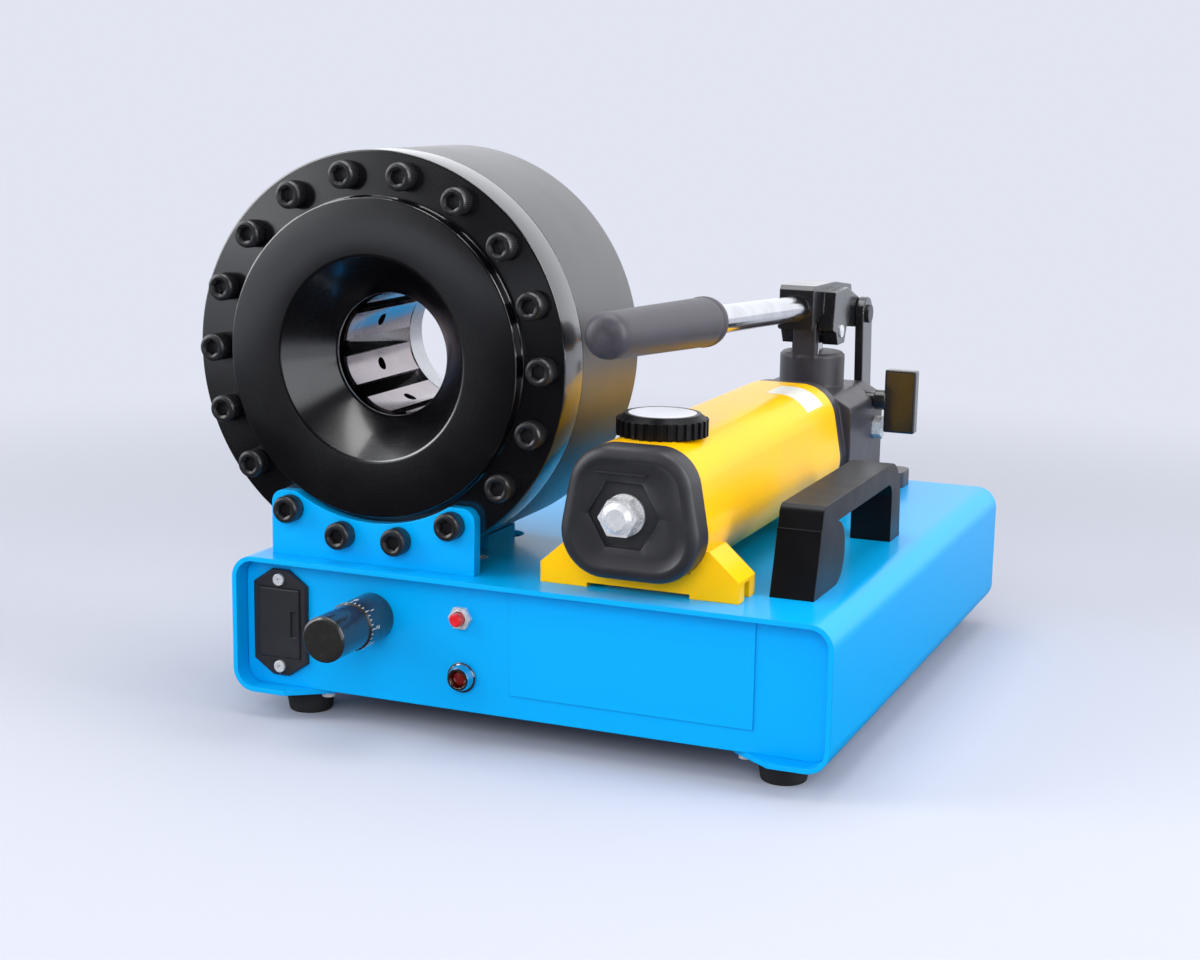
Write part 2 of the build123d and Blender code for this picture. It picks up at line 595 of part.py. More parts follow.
def battery_holder():
    """Bezel with tapered ends and the pocket behind it."""
    w, h, tip, waist = BATT_W / 2, BATT_H / 2, 5.5, 24.0
    outline = make_face(Polyline((-tip, h), (tip, h), (w, waist), (w, -waist), (tip, -h), (-tip, -h),
            (-w, -waist), (-w, waist), close=True))
    bezel = extrude(Plane.XZ * outline, amount=BEZEL_T)
    bezel = chamfer(bezel.faces().sort_by(Axis.Y)[0].edges(), 1)
    pocket = box(-14.2, 14.2, 0, TRAY_L + 6, -22.2, 22.2)
    inside = box(-DOOR_W / 2 + 1.2, DOOR_W / 2 - 1.2, -10, TRAY_L + 4.5, -DOOR_H / 2 + 1.2,
            DOOR_H / 2 - 1.2)
    seat = box(-DOOR_W / 2 - SIDE_GAP, DOOR_W / 2 + SIDE_GAP, -BEZEL_T - 1, -BEZEL_T + DOOR_T,
            -DOOR_H / 2 - SIDE_GAP, DOOR_H / 2 + SIDE_GAP)
    holder = bezel + pocket - inside - seat
    for dz in (-h + 6, h - 6):
        holder -= Pos(0, 0, dz) * FACE_FRONT * Cylinder(2, 20)
    return Pos(BATT_X, PANEL_Y, BATT_Z) * holder


def battery_drawer():
    """Door with its finger notch, and the tray behind it."""
    door = box(-DOOR_W / 2, DOOR_W / 2, -BEZEL_T - 1, -BEZEL_T + DOOR_T - SIDE_GAP, -DOOR_H / 2, DOOR_H / 2)
    door = chamfer(door.faces().sort_by(Axis.Y)[0].edges(), 0.6)
    door -= box(DOOR_W / 2 - 6, DOOR_W / 2 - 2, -BEZEL_T - 2, -BEZEL_T, -8, 8)
    x_in, z_in = DOOR_W / 2 - 1.5, DOOR_H / 2 - 1.5
    tray = box(-x_in, x_in, -BEZEL_T, TRAY_L, -z_in, z_in)
    tray -= box(-x_in + TRAY_WALL, x_in + TRAY_WALL, 0, TRAY_L - TRAY_WALL, -z_in + TRAY_WALL,
            z_in - TRAY_WALL)
    return Pos(BATT_X, PANEL_Y, BATT_Z) * (door + tray)


def battery():
    x_left = -DOOR_W / 2 + 1.5 + TRAY_WALL
    cell = box(x_left, x_left + CELL[0], 0.5, 0.5 + CELL[1], -CELL[2] / 2, CELL[2] / 2)
    return Pos(BATT_X, PANEL_Y, BATT_Z) * fillet(cell.edges().filter_by(Axis.Y), 2)


keep("battery_holder", battery_holder())
keep("battery_drawer", battery_drawer())
keep("battery", battery())
cell_screw = FACE_FRONT * socket_screw(2, 3.6, 1.8, 8, 2)
keep("battery_screws", *[Pos(BATT_X, PANEL_Y - BEZEL_T,
        BATT_Z + dz) * cell_screw for dz in (6 - BATT_H / 2, BATT_H / 2 - 6)])

button_r = 4.0
nut = FACE_FRONT * hex_prism(12.5, 3)
barrel = turned_y([
    (button_r + SIDE_GAP, -4), (5, -4), (5, PANEL_T), (7, PANEL_T), (7, 18), (0, 18), (0,
            12), (button_r + SIDE_GAP, 12),
])
keep("button_switch", Pos(BUTTON_X, PANEL_Y, BUTTON_Z) * (nut + barrel - Pos(0, -3,
        0) * FACE_FRONT * Cylinder(button_r + SIDE_GAP, 20)))
keep("push_button", Pos(BUTTON_X, PANEL_Y, BUTTON_Z) * turned_y([
    (0, -9), (button_r - 1, -9), (button_r, -8), (button_r, 12 - BUTTON_TRAVEL - SIDE_GAP), (0,
            12 - BUTTON_TRAVEL - SIDE_GAP),
]))
lamp = turned_y([
    (5.2, -7), (6.6, -7), (7.0, -6), (8.2, -2), (9, -2), (9, 0), (6.4, 0), (6.4, PANEL_T), (8,
            PANEL_T), (8, 20), (0, 20), (0, 0), (5.2, 0),
])
keep("lamp_bezel", Pos(LAMP_X, PANEL_Y, LAMP_Z) * lamp)
keep("lamp_lens", Pos(LAMP_X, PANEL_Y, LAMP_Z) * turned_y([(0, -5.2), (3.5, -4.6), (5.1, -3), (5.1, 0),
        (0, 0)]))


# ---------------------------------------------------------------- hand pump

def tank_section(inset=0.0):
    """Rounded trapezium, drawn in (x, z) above the base top."""
    z0, z1 = TANK_LOW + inset, TANK_LOW + TANK_H - inset
    w0, w1 = TANK_LOW_W / 2 - inset, TANK_TOP_W / 2 - inset
    face = make_face(Polyline((-w0, z0), (w0, z0), (w1, z1), (-w1, z1), close=True))
    face = fillet(face.vertices().sort_by(Axis.Y)[:2], TANK_LOW_R - inset)
    return fillet([v for v in face.vertices() if v.Y > z1 - 2 and abs(abs(v.X) - w1) < 0.01],
            TANK_TOP_R - inset)


def pump_sweep(face, y0, y1):
    return Pos(PUMP_X, y0, BASE_TOP) * extrude(Plane.XZ * face, amount=-(y1 - y0))


def wing(side, y0, y1):
    """Mounting wing with a bevelled shoulder and an open slot."""
    edge = PUMP_FOOT_W / 2
    face = make_face(Polyline((side * 31, 0), (side * edge, 0), (side * edge, PUMP_FOOT_EDGE),
            (side * 42, 28), (side * 31, 28), close=True))
    body = pump_sweep(face, y0, y1)
    mid = (y0 + y1) / 2
    slot_x = PUMP_X + side * edge
    return body - box(min(slot_x, slot_x - side * 8), max(slot_x, slot_x - side * 8), mid - 4.5, mid + 4.5,
            BASE_TOP - 1, BASE_TOP + 10)


def pump_tank():
    inside = pump_sweep(tank_section(TANK_WALL), PUMP_Y - 1, TANK_Y1 + 1)
    tank = pump_sweep(tank_section(), PUMP_Y, TANK_Y1)
    for side in (-1, 1):
        tank += wing(side, PUMP_Y, PUMP_Y + PUMP_FOOT_D)
    bridge = make_face(Polyline((-31, 2.5), (31, 2.5), (31, TANK_LOW + 4), (-31, TANK_LOW + 4), close=True))
    tank += pump_sweep(bridge, PUMP_Y, PUMP_Y + PUMP_FOOT_D)
    tank -= inside
    tank -= Pos(PUMP_X, PUMP_Y + FILL_Y, BASE_TOP + TANK_LOW + TANK_H) * Cylinder(FILL_NECK_R, 20)
    for x, y in PUMP_SCREWS[:2]:
        tank -= Pos(x, y, BASE_TOP) * Cylinder(M6_R, 20)
    return tank


FILL_NECK_R = 17.0
NOSE_CHAMFER = 5.0


def pump_end_cap():
    cap = pump_sweep(tank_section(), PUMP_Y - CAP_L, PUMP_Y)
    front = cap.faces().sort_by(Axis.Y)[0]
    cap = chamfer(front.edges(), NOSE_CHAMFER)
    recess = extrude(RegularPolygon(18.5, 6, major_radius=False), amount=10)
    tie = Pos(TIE_X, PUMP_Y - CAP_L, BASE_TOP + TIE_Z)
    cap -= tie * Pos(0, 6, 0) * FACE_FRONT * recess
    return cap - tie * FACE_FRONT * Cylinder(TIE_R, 4 * CAP_L)


def tie_bolt():
    """Washer, hexagon head and the rod that clamps cap and tank to the body."""
    y_seat = PUMP_Y - CAP_L + 6
    head = Pos(0, 0, 2) * hex_prism(TIE_HEX, 11)
    dome = turned_z([(0, 13), (TIE_HEX / 2 - 1, 13), (TIE_HEX / 2 - 4, 15.5), (0, 15.5)])
    washer = Pos(0, 0, 1) * Cylinder(TIE_HEX / 2 + 2, 2)
    rod_l = TANK_Y1 + 20 - y_seat
    rod = Pos(0, 0, -rod_l / 2) * Cylinder(TIE_R - SCREW_GAP, rod_l)
    return Pos(TIE_X, y_seat, BASE_TOP + TIE_Z) * FACE_FRONT * (head + dome + washer + rod)


def fill_cap():
    """Knurled screw cap with a recess for its white disc, axis along Z."""
    ribs = 30
    body = turned_z([(0, 0), (FILL_R - 1.5, 0), (FILL_R - 1.5, FILL_H - 3), (FILL_R - 4.5, FILL_H),
            (0, FILL_H)])
    rib = Pos(FILL_R - 1.6, 0, (FILL_H - 3) / 2) * Box(3.2, 2.6, FILL_H - 3)
    for i in range(ribs):
        body += Rot(Z=i * 360 / ribs) * rib
    neck = Pos(0, 0, -5) * Cylinder(FILL_NECK_R - SIDE_GAP, 10)
    return body + neck - Pos(0, 0, FILL_H) * Cylinder(FILL_DISC_R, 2.4)


FILL_DISC_R = 19.5
FILL = Pos(PUMP_X, PUMP_Y + FILL_Y, BASE_TOP + TANK_LOW + TANK_H + 0.1)


def pump_body():
    """Casting: flange on the tank, block with the cylinder boss, rear ears and link lug."""
    flange = pump_sweep(tank_section(0.8), TANK_Y1, TANK_Y1 + 14)
    w = BODY_W / 2
    face = make_face(Polyline((-w, 0), (w, 0), (w, BODY_H - 8), (w - 14, BODY_H), (14 - w, BODY_H),
            (-w, BODY_H - 8), close=True))
    face = fillet(face.vertices().filter_by(lambda v: v.Y > 1), 6)
    block = pump_sweep(face, TANK_Y1 + 14, TANK_Y1 + BODY_L - 26)
    block = chamfer(block.faces().sort_by(Axis.Y)[-1].edges().filter_by(lambda e: e.center().Z > BASE_TOP + 1), 5)
    ears = pump_sweep(Pos(0, 5.5) * Rectangle(PUMP_FOOT_W, 11), TANK_Y1 + BODY_L - 30, TANK_Y1 + BODY_L)
    ears = fillet(ears.edges().filter_by(Axis.Z), 9)
    boss = Pos(PUMP_X, RAM_AT, BASE_TOP + BOSS_TOP / 2) * Cylinder(PUMP_BOSS_R, BOSS_TOP)
    boss = chamfer(boss.edges().sort_by(Axis.Z)[-1], 2)
    web = box(PUMP_X - 12, PUMP_X + 12, RAM_AT, LOW_PIN_Y, BASE_TOP, LOW_PIN_Z - LINK_R + 6)
    lug = Pos(PUMP_X, LOW_PIN_Y, LOW_PIN_Z) * along_x(YOKE_W, LINK_R)
    post = box(PUMP_X - YOKE_W / 2, PUMP_X + YOKE_W / 2, LOW_PIN_Y - LINK_R, LOW_PIN_Y + LINK_R, BASE_TOP,
            LOW_PIN_Z)
    guard = box(PUMP_X - 8, PUMP_X + 8, RAM_AT - 21.5, RAM_AT - 13.5, BASE_TOP + BOSS_TOP - 4, PIN_Z + 7)
    guard = fillet(guard.edges().filter_by(Axis.X).sort_by(Axis.Z)[-2:], 3)
    body = flange + block + ears + boss + web + lug + post + guard
    body -= Pos(PUMP_X, RAM_AT, BASE_TOP + BOSS_TOP) * Cylinder(RAM_R + RUN_GAP, 2 * 85)
    body -= Pos(PUMP_X, LOW_PIN_Y, LOW_PIN_Z) * along_x(2 * YOKE_W, PIN_R)
    body -= Pos(TIE_X, TANK_Y1, BASE_TOP + TIE_Z) * FACE_FRONT * Cylinder(TIE_R, 2 * 22)
    for x, y in PUMP_SCREWS[2:]:
        body -= Pos(x, y, BASE_TOP) * Cylinder(M6_R, 18)
    right = Pos(PUMP_X + w, 0, 0)
    body -= right * Pos(0, PUMP_Y + KNOB_Y, BASE_TOP + KNOB_UP) * along_x(2 * 14, KNOB_STEM_R + RUN_GAP)
    body -= right * Pos(0, PUMP_Y + PLUG_Y, BASE_TOP + PLUG_UP) * along_x(2 * 10, 5)
    return body - Pos(PUMP_X - w, OUTLET_Y, OUTLET_Z) * along_x(2 * 12, 6)


KNOB_STEM_R = 5.0
EYE_R = 8.6


def plunger():
    """Ground ram with a slotted eye for the yoke's pin."""
    low = BASE_TOP + 22
    ram = Pos(PUMP_X, RAM_AT, (low + PIN_Z) / 2) * Cylinder(RAM_R, PIN_Z - low)
    collar = Pos(PUMP_X, RAM_AT, PIN_Z + 1) * Cylinder(EYE_R, 19)
    eye = SlotOverall(2 * (PIN_R + EYE_SLOT_Y), 2 * (PIN_R + EYE_SLOT_Z))
    return ram + collar - plate_yz(Pos(RAM_AT, PIN_Z) * eye, PUMP_X - 20, PUMP_X + 20)


EYE_SLOT_Y = 1.8
EYE_SLOT_Z = 0.6


def handle_axis(y):
    """Height of the handle's axis above the base top at a distance behind the foot's front."""
    return TUBE_Z0 + (TUBE_Y0 - y) * tan(radians(HANDLE_TILT))


def pump_yoke():
    """Handle socket in front, clevis round the plunger's eye, cross bore for the links."""
    front = TUBE_Y0 - 5
    y0, y1 = PUMP_Y + front, TOP_PIN_Y
    z_mid = BASE_TOP + handle_axis(front)
    z_top, z_low = z_mid + BEAM_H / 2 + 1, z_mid - BEAM_H / 2
    ear_y0, ear_y1 = RAM_AT - 20, RAM_AT + 14
    beam = make_face(Polyline(
        (y0, z_low), (y0, z_top), (RAM_AT + 10, z_top - 1), (y1 + 4, z_top - 6), (y1 + YOKE_EYE_R + 2,
                TOP_PIN_Z + 5),
        (y1 + YOKE_EYE_R, TOP_PIN_Z - 4), (y1, TOP_PIN_Z - YOKE_EYE_R - 1), (RAM_AT + 14,
                PIN_Z + 13), (RAM_AT - 20, PIN_Z + 13), close=True))
    side = make_face(Polyline(
        (ear_y0, z_low - 2), (ear_y0 + 4, z_top - 6), (RAM_AT + 14, z_top - 5), (y1 + YOKE_EYE_R,
                TOP_PIN_Z + 8), (y1 + YOKE_EYE_R, TOP_PIN_Z - 4),
        (y1, TOP_PIN_Z - YOKE_EYE_R - 1), (ear_y1, PIN_Z + 2), (ear_y1 - 5, PIN_Z - 9), (RAM_AT - 7,
                PIN_Z - 9), (RAM_AT - 12, PIN_Z), close=True))
    yoke = plate_yz(beam, PUMP_X - BEAM_W / 2, PUMP_X + BEAM_W / 2)
    yoke = chamfer(yoke.edges().filter_by(Axis.X).sort_by(Axis.Z)[-2:], 3)
    yoke += plate_yz(side, PUMP_X - YOKE_W / 2, PUMP_X + YOKE_W / 2)
    half = EYE_R + SIDE_GAP
    yoke -= box(PUMP_X - half, PUMP_X + half, RAM_AT - 24, RAM_AT + 20, PIN_Z - 20, PIN_Z + 13)
    yoke -= Pos(PUMP_X, RAM_AT, PIN_Z) * along_x(2 * YOKE_W, PIN_R)
    yoke -= Pos(PUMP_X, TOP_PIN_Y, TOP_PIN_Z) * along_x(2 * YOKE_W, PIN_R + RUN_GAP)
    return yoke - TUBE * Pos(0, 0, -20) * Cylinder(TUBE_R, 80)


# the handle's own frame: origin in the yoke's mouth, +Z along the handle towards the front
TUBE = Pos(PUMP_X, PUMP_Y + TUBE_Y0, BASE_TOP + TUBE_Z0) * Rot(X=90 - HANDLE_TILT)
TUBE_L = (TUBE_Y0 - TUBE_FRONT) / cos(radians(HANDLE_TILT))
GRIP_AT = (TUBE_Y0 - GRIP_REAR) / cos(radians(HANDLE_TILT))


def handle_tube():
    z0, z1 = 20 - 40, TUBE_L - 6
    bar = Pos(0, 0, (z0 + z1) / 2) * Cylinder(TUBE_R - SCREW_GAP, z1 - z0)
    return TUBE * (bar - Pos(0, 0, (z0 + z1) / 2) * Cylinder(TUBE_R - 2, z1 - z0 + 2))


def handle_grip():
    """Moulded sleeve, tapered towards the front, closed at the tip."""
    outer = turned_z([
        (0, GRIP_AT), (GRIP_R0 - 2.5, GRIP_AT), (GRIP_R0, GRIP_AT + 3), (GRIP_R0, GRIP_AT + 30), (GRIP_R1,
                TUBE_L - 8),
        (GRIP_R1 - 1.2, TUBE_L - 2.5), (GRIP_R1 - 4, TUBE_L), (0, TUBE_L),
    ])
    return TUBE * (outer - Pos(0, 0, (GRIP_AT + TUBE_L - 6) / 2 - 5) * Cylinder(TUBE_R,
            TUBE_L - 6 - GRIP_AT + 10))


def link_plate(side):
    top, low = (TOP_PIN_Y, TOP_PIN_Z), (LOW_PIN_Y, LOW_PIN_Z)
    length = hypot(low[0] - top[0], low[1] - top[1])
    lean = degrees(atan2(low[1] - top[1], low[0] - top[0]))
    outline = Pos((top[0] + low[0]) / 2,
            (top[1] + low[1]) / 2) * Rot(Z=lean) * SlotOverall(length + 2 * LINK_R, 2 * LINK_R)
    x_in = YOKE_W / 2 + SIDE_GAP
    x0 = PUMP_X + (x_in if side > 0 else -x_in - LINK_T)
    plate = plate_yz(outline, x0, x0 + LINK_T)
    for y, z in (top, low):
        plate -= Pos(PUMP_X, y, z) * along_x(4 * YOKE_W, PIN_R + RUN_GAP)
    return plate


def link_pin(y, z, reach):
    """Headed pin along X with a collar at its other end."""
    pin = along_x(2 * reach, PIN_R - SCREW_GAP)
    for side in (-1, 1):
        pin += Pos(side * (reach + 1), 0, 0) * along_x(2, PIN_R + 2)
    return Pos(PUMP_X, y, z) * pin


def release_knob():
    """Stem into the valve, and a flat thumb bar."""
    w = PUMP_X + BODY_W / 2
    stem = turned_z([
        (0, -13), (KNOB_STEM_R, -13), (KNOB_STEM_R, 1), (KNOB_STEM_R + 2, 1), (KNOB_STEM_R + 2, 9), (0, 9)])
    bar = Pos(0, 0, 8 + KNOB_BAR[2] / 2) * Box(*KNOB_BAR)
    bar = fillet(bar.edges(), 1.5)
    return Pos(w, PUMP_Y + KNOB_Y, BASE_TOP + KNOB_UP) * Rot(Y=90) * (stem + bar)


keep("pump_tank", pump_tank())
keep("pump_end_cap", pump_end_cap())
keep("tie_bolt", tie_bolt())
keep("fill_cap", FILL * fill_cap())
keep("fill_cap_disc", FILL * Pos(0, 0, FILL_H - 0.6) * Cylinder(FILL_DISC_R, 1.2))
keep("pump_body", pump_body())
keep("pump_plunger", plunger())
keep("pump_yoke", pump_yoke())
keep("plunger_pin", Pos(PUMP_X, RAM_AT, PIN_Z) * along_x(YOKE_W + 2, PIN_R - SCREW_GAP))
keep("handle_tube", handle_tube())
keep("handle_grip", handle_grip())
keep("link_plates", link_plate(-1), link_plate(1))
link_reach = YOKE_W / 2 + LINK_T + SIDE_GAP + SEAT_GAP
keep("link_pins", link_pin(TOP_PIN_Y, TOP_PIN_Z, link_reach), link_pin(LOW_PIN_Y, LOW_PIN_Z, link_reach))
keep("release_knob", release_knob())
plug = hex_prism(14, 6) + Pos(0, 0, -5) * Cylinder(5 - SCREW_GAP, 10)
keep("pump_plug", Pos(PUMP_X + BODY_W / 2, PUMP_Y + PLUG_Y, BASE_TOP + PLUG_UP) * Rot(Y=90) * plug)


# ---------------------------------------------------------------- pressure pipe

def port_fitting():
    """Straight nipple under the cylinder: up into the port, down through the base top."""
    port_z = HEAD_Z - (FLANGE_R**2 - (PORT_X - HEAD_X) ** 2) ** 0.5
    low = BASE_TOP - SHEET - 14
    nipple = Pos(0, 0, (port_z + 6 + low) / 2) * Cylinder(FITTING_R - 3 - SCREW_GAP, port_z + 6 - low)
    nut = Pos(0, 0, low - 8) * hex_prism(17, 16)
    bore = Pos(0, 0, low - 8) * Cylinder(PIPE_R, 24)
    return Pos(PORT_X, PORT_Y, 0) * (nipple + nut - bore), low - 8


def outlet_elbow():
    """Angle fitting on the pump's left face, mouth down."""
    block = Pos(OUTLET_X, OUTLET_Y, OUTLET_Z) * Box(16, 16, 18)
    face_x = PUMP_X - BODY_W / 2
    stub = Pos((OUTLET_X + face_x + 10) / 2, OUTLET_Y, OUTLET_Z) * along_x(face_x + 10 - OUTLET_X,
            6 - SCREW_GAP)
    nut = Pos(OUTLET_X, OUTLET_Y, OUTLET_Z - 21) * hex_prism(15, 14)
    bore = Pos(OUTLET_X, OUTLET_Y, OUTLET_Z - 14) * Cylinder(PIPE_R, 20)
    return block + stub + nut - bore


fitting, fitting_low = port_fitting()
PIPE_Z = FOOT_H + 32.0
PIPE_BEND = 22.0
pipe_top = OUTLET_Z - 4.0
route = FilletPolyline(
    (PORT_X, PORT_Y, fitting_low + 12), (PORT_X, PORT_Y, PIPE_Z), (OUTLET_X, OUTLET_Y, PIPE_Z), (OUTLET_X,
            OUTLET_Y, pipe_top),
    radius=PIPE_BEND,
)
pipe_end = Plane(origin=route @ 0, z_dir=route % 0)
keep("port_fitting", fitting)
keep("outlet_elbow", outlet_elbow())
keep("pressure_pipe", sweep(pipe_end * (Circle(PIPE_R) - Circle(PIPE_R - 1.5)), path=route))
grommet = turned_z([(PIPE_R + SCREW_GAP, -SHEET - 2), (GROMMET_R - 1, -SHEET - 2), (GROMMET_R - 1, -SHEET),
        (GROMMET_R - 3, -SHEET), (GROMMET_R - 3, 0), (GROMMET_R - 1, 0), (GROMMET_R - 1, 2),
        (PIPE_R + SCREW_GAP, 2)])
keep("pipe_grommet", Pos(OUTLET_X, OUTLET_Y, BASE_TOP) * grommet)


# ---------------------------------------------------------------- carry handle

def carry_handle():
    """Moulded bridge handle: bar, two legs, and a long front foot for its screw."""
    z0, z1 = BASE_TOP, BASE_TOP + GRAB_H
    outer = make_face(Polyline((GRAB_Y0, z0), (GRAB_Y0 + 15, z1), (GRAB_Y1 - 4, z1), (GRAB_Y1, z0),
            close=True))
    tops = outer.vertices().filter_by(lambda v: v.Y > z1 - 1).sort_by(Axis.X)
    outer = fillet(tops[0], 6)
    tops = outer.vertices().filter_by(lambda v: v.Y > z1 - 1).sort_by(Axis.X)
    outer = fillet(tops[-1], 26)
    inner = make_face(Polyline((GRAB_Y0 + 20, z0 - 1), (GRAB_Y0 + 26, z1 - GRAB_BAR),
            (GRAB_Y1 - 23, z1 - GRAB_BAR), (GRAB_Y1 - 23, z0 - 1), close=True))
    inner = fillet(inner.vertices().filter_by(lambda v: v.Y > z0 + 1), 9)
    foot = Pos(GRAB_Y0 + 35, z0 + LUG_H / 2) * Rectangle(50, LUG_H)
    foot = fillet(foot.vertices().filter_by(lambda v: v.X > GRAB_Y0 + 40), LUG_H / 2 - 1)
    profile = outer - inner + foot
    grab = plate_yz(profile, GRAB_X - GRAB_W / 2, GRAB_X + GRAB_W / 2)
    for x, y in GRAB_SCREWS:
        grab -= Pos(x, y, BASE_TOP) * Cylinder(M6_R, 24)
    return grab


keep("carry_handle", carry_handle())
m6_low = socket_screw(M6_R, 5, 6, 12, 5)
keep("mount_screws", *[Pos(x, y, BASE_TOP - SHEET) * flipped(m6_low) for x, y in PUMP_SCREWS + GRAB_SCREWS])


# ---------------------------------------------------------------- export

# the origin is on the floor, under the middle of the whole machine's box
whole = Compound(children=[shape for node in NODES.values() for shape in node.solids()]).bounding_box()
SHIFT = Pos(-whole.center().X, -whole.center().Y, -whole.min.Z)
print("origin shift", [round(v, 4) for v in SHIFT.position], "size", [round(v, 2) for v in whole.size])
for name, shape in NODES.items():
    export_step(SHIFT * shape, f"parts/{name}.step")
print(len(NODES), "nodes")
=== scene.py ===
import bpy
import bmesh
from math import atan2, cos, pi, radians, sin, tan
from mathutils import Matrix, Vector


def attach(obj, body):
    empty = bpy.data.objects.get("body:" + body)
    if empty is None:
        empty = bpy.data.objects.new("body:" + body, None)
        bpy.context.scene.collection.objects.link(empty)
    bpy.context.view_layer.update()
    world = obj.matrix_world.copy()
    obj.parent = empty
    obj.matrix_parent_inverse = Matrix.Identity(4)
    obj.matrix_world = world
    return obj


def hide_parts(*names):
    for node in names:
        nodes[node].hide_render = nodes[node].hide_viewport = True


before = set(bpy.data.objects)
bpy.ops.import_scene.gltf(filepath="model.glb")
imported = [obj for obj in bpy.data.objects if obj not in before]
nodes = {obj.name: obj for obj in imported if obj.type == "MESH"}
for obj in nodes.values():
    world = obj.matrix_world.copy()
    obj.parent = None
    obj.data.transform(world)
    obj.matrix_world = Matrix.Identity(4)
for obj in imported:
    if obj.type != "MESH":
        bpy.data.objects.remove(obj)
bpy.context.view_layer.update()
print("frame loaded:", len(nodes), "nodes")

mm = 0.001
shift = Vector((16.25, -185, 0))  # from the base's front rim to the middle of the whole machine


def at(x, y, z):
    # a place given from the base's centre line, front rim and floor, in mm
    return (Vector((x, y, z)) + shift) * mm


# ---- shader wiring

class Wire:
    def __init__(self, tree, out=None):
        self.tree, self.out = tree, out

    def add(self, kind, settings=None, sockets=None, output=0):
        n = self.tree.nodes.new("ShaderNode" + kind)
        for key, value in (settings or {}).items():
            if key == "stops":
                while len(n.color_ramp.elements) < len(value):
                    n.color_ramp.elements.new(0.5)
                for e, (place, shade) in zip(n.color_ramp.elements, value):
                    e.position = place
                    e.color = (shade, shade, shade, 1)
            else:
                setattr(n, key, value)
        for key, value in (sockets or {}).items():
            if isinstance(value, Wire):
                self.tree.links.new(value.out, n.inputs[key])
            else:
                n.inputs[key].default_value = value
        return Wire(self.tree, n.outputs[output] if n.outputs else None)

    def maths(self, operation, *values, clamp=False):
        return self.add("Math", {"operation": operation, "use_clamp": clamp}, dict(enumerate(values)))

    def vector(self, operation, other, output=0):
        return self.add("VectorMath", {"operation": operation}, {0: self, 1: other}, output)

    def blend(self, a, b):
        # self picks between two colours
        a, b = [c if isinstance(c, Wire) else (*c, 1) for c in (a, b)]
        return self.add("Mix", {"data_type": "RGBA"}, {0: self, 6: a, 7: b}, 2)

    def step(self, low, high):
        return self.add("MapRange", {"interpolation_type": "SMOOTHSTEP"}, {0: self, 1: low, 2: high})

    def __add__(self, o): return self.maths("ADD", self, o)
    def __radd__(self, o): return self.maths("ADD", o, self)
    def __sub__(self, o): return self.maths("SUBTRACT", self, o)
    def __rsub__(self, o): return self.maths("SUBTRACT", o, self)
    def __mul__(self, o): return self.maths("MULTIPLY", self, o)
    def __rmul__(self, o): return self.maths("MULTIPLY", o, self)


def noise(w, scale, detail=3, stretch=(1, 1, 1), roughness=0.5):
    place = w.add("TexCoord", output=3).vector("MULTIPLY", stretch)
    return w.add("TexNoise", {}, {"Vector": place, "Scale": scale, "Detail": detail,
            "Roughness": roughness})


def newMaterial(name, look, build=None):
    m = bpy.data.materials.new(name)
    m.use_nodes = True
    tree = m.node_tree
    tree.nodes.clear()
    w = Wire(tree)
    surface = w.add("BsdfPrincipled", {}, look.get("sockets", {}))
    w.add("OutputMaterial", {}, {"Surface": surface})
    shader = surface.out.node
    colour = look["colour"]
    spots = noise(w, look.get("spotScale", 60), 4).step(0.35, 0.7)
    dark = [c * look.get("shadeBy", 0.85) for c in colour]
    mixed = spots.blend(dark, colour)
    rough = spots * look.get("roughSpread", 0.06) + look["rough"]
    grain = noise(w, look.get("grainScale", 900), 2, look.get("grainStretch", (1, 1, 1)))
    edge = None
    if look.get("edge"):
        soft = w.add("Bevel", {"samples": 4}, {"Radius": look["edge"] * mm})
        true = w.add("NewGeometry", output=1)
        # lighter patches along the edges: part edge wear, part painted edge highlight where the rims catch
        # the light
        nearEdge = 1 - soft.vector("DOT_PRODUCT", true, 1)
        edgeWearAndSheen = (nearEdge * 3).step(0.05, 0.9) * noise(w, 220, 4).step(0.45, 0.7)
        mixed = (edgeWearAndSheen * look.get("edgeWearAndSheen", 0)).blend(mixed, look.get("edgeWearAndSheenColour", (0.5, 0.5, 0.5)))
        edge = soft
    if build:
        mixed, rough, grain = build(w, mixed, rough, grain)
    bump = w.add("Bump", {}, {"Strength": look.get("bump", 0.1),
            "Distance": look.get("bumpDepth", 0.1) * mm, "Height": grain})
    if edge:
        tree.links.new(edge.out, bump.out.node.inputs["Normal"])
    for socket, value in (("Base Color", mixed), ("Roughness", rough), ("Normal", bump)):
        tree.links.new(value.out, shader.inputs[socket])
    return m


# ---- finishes; spot and grain scales are per metre, depths in mm

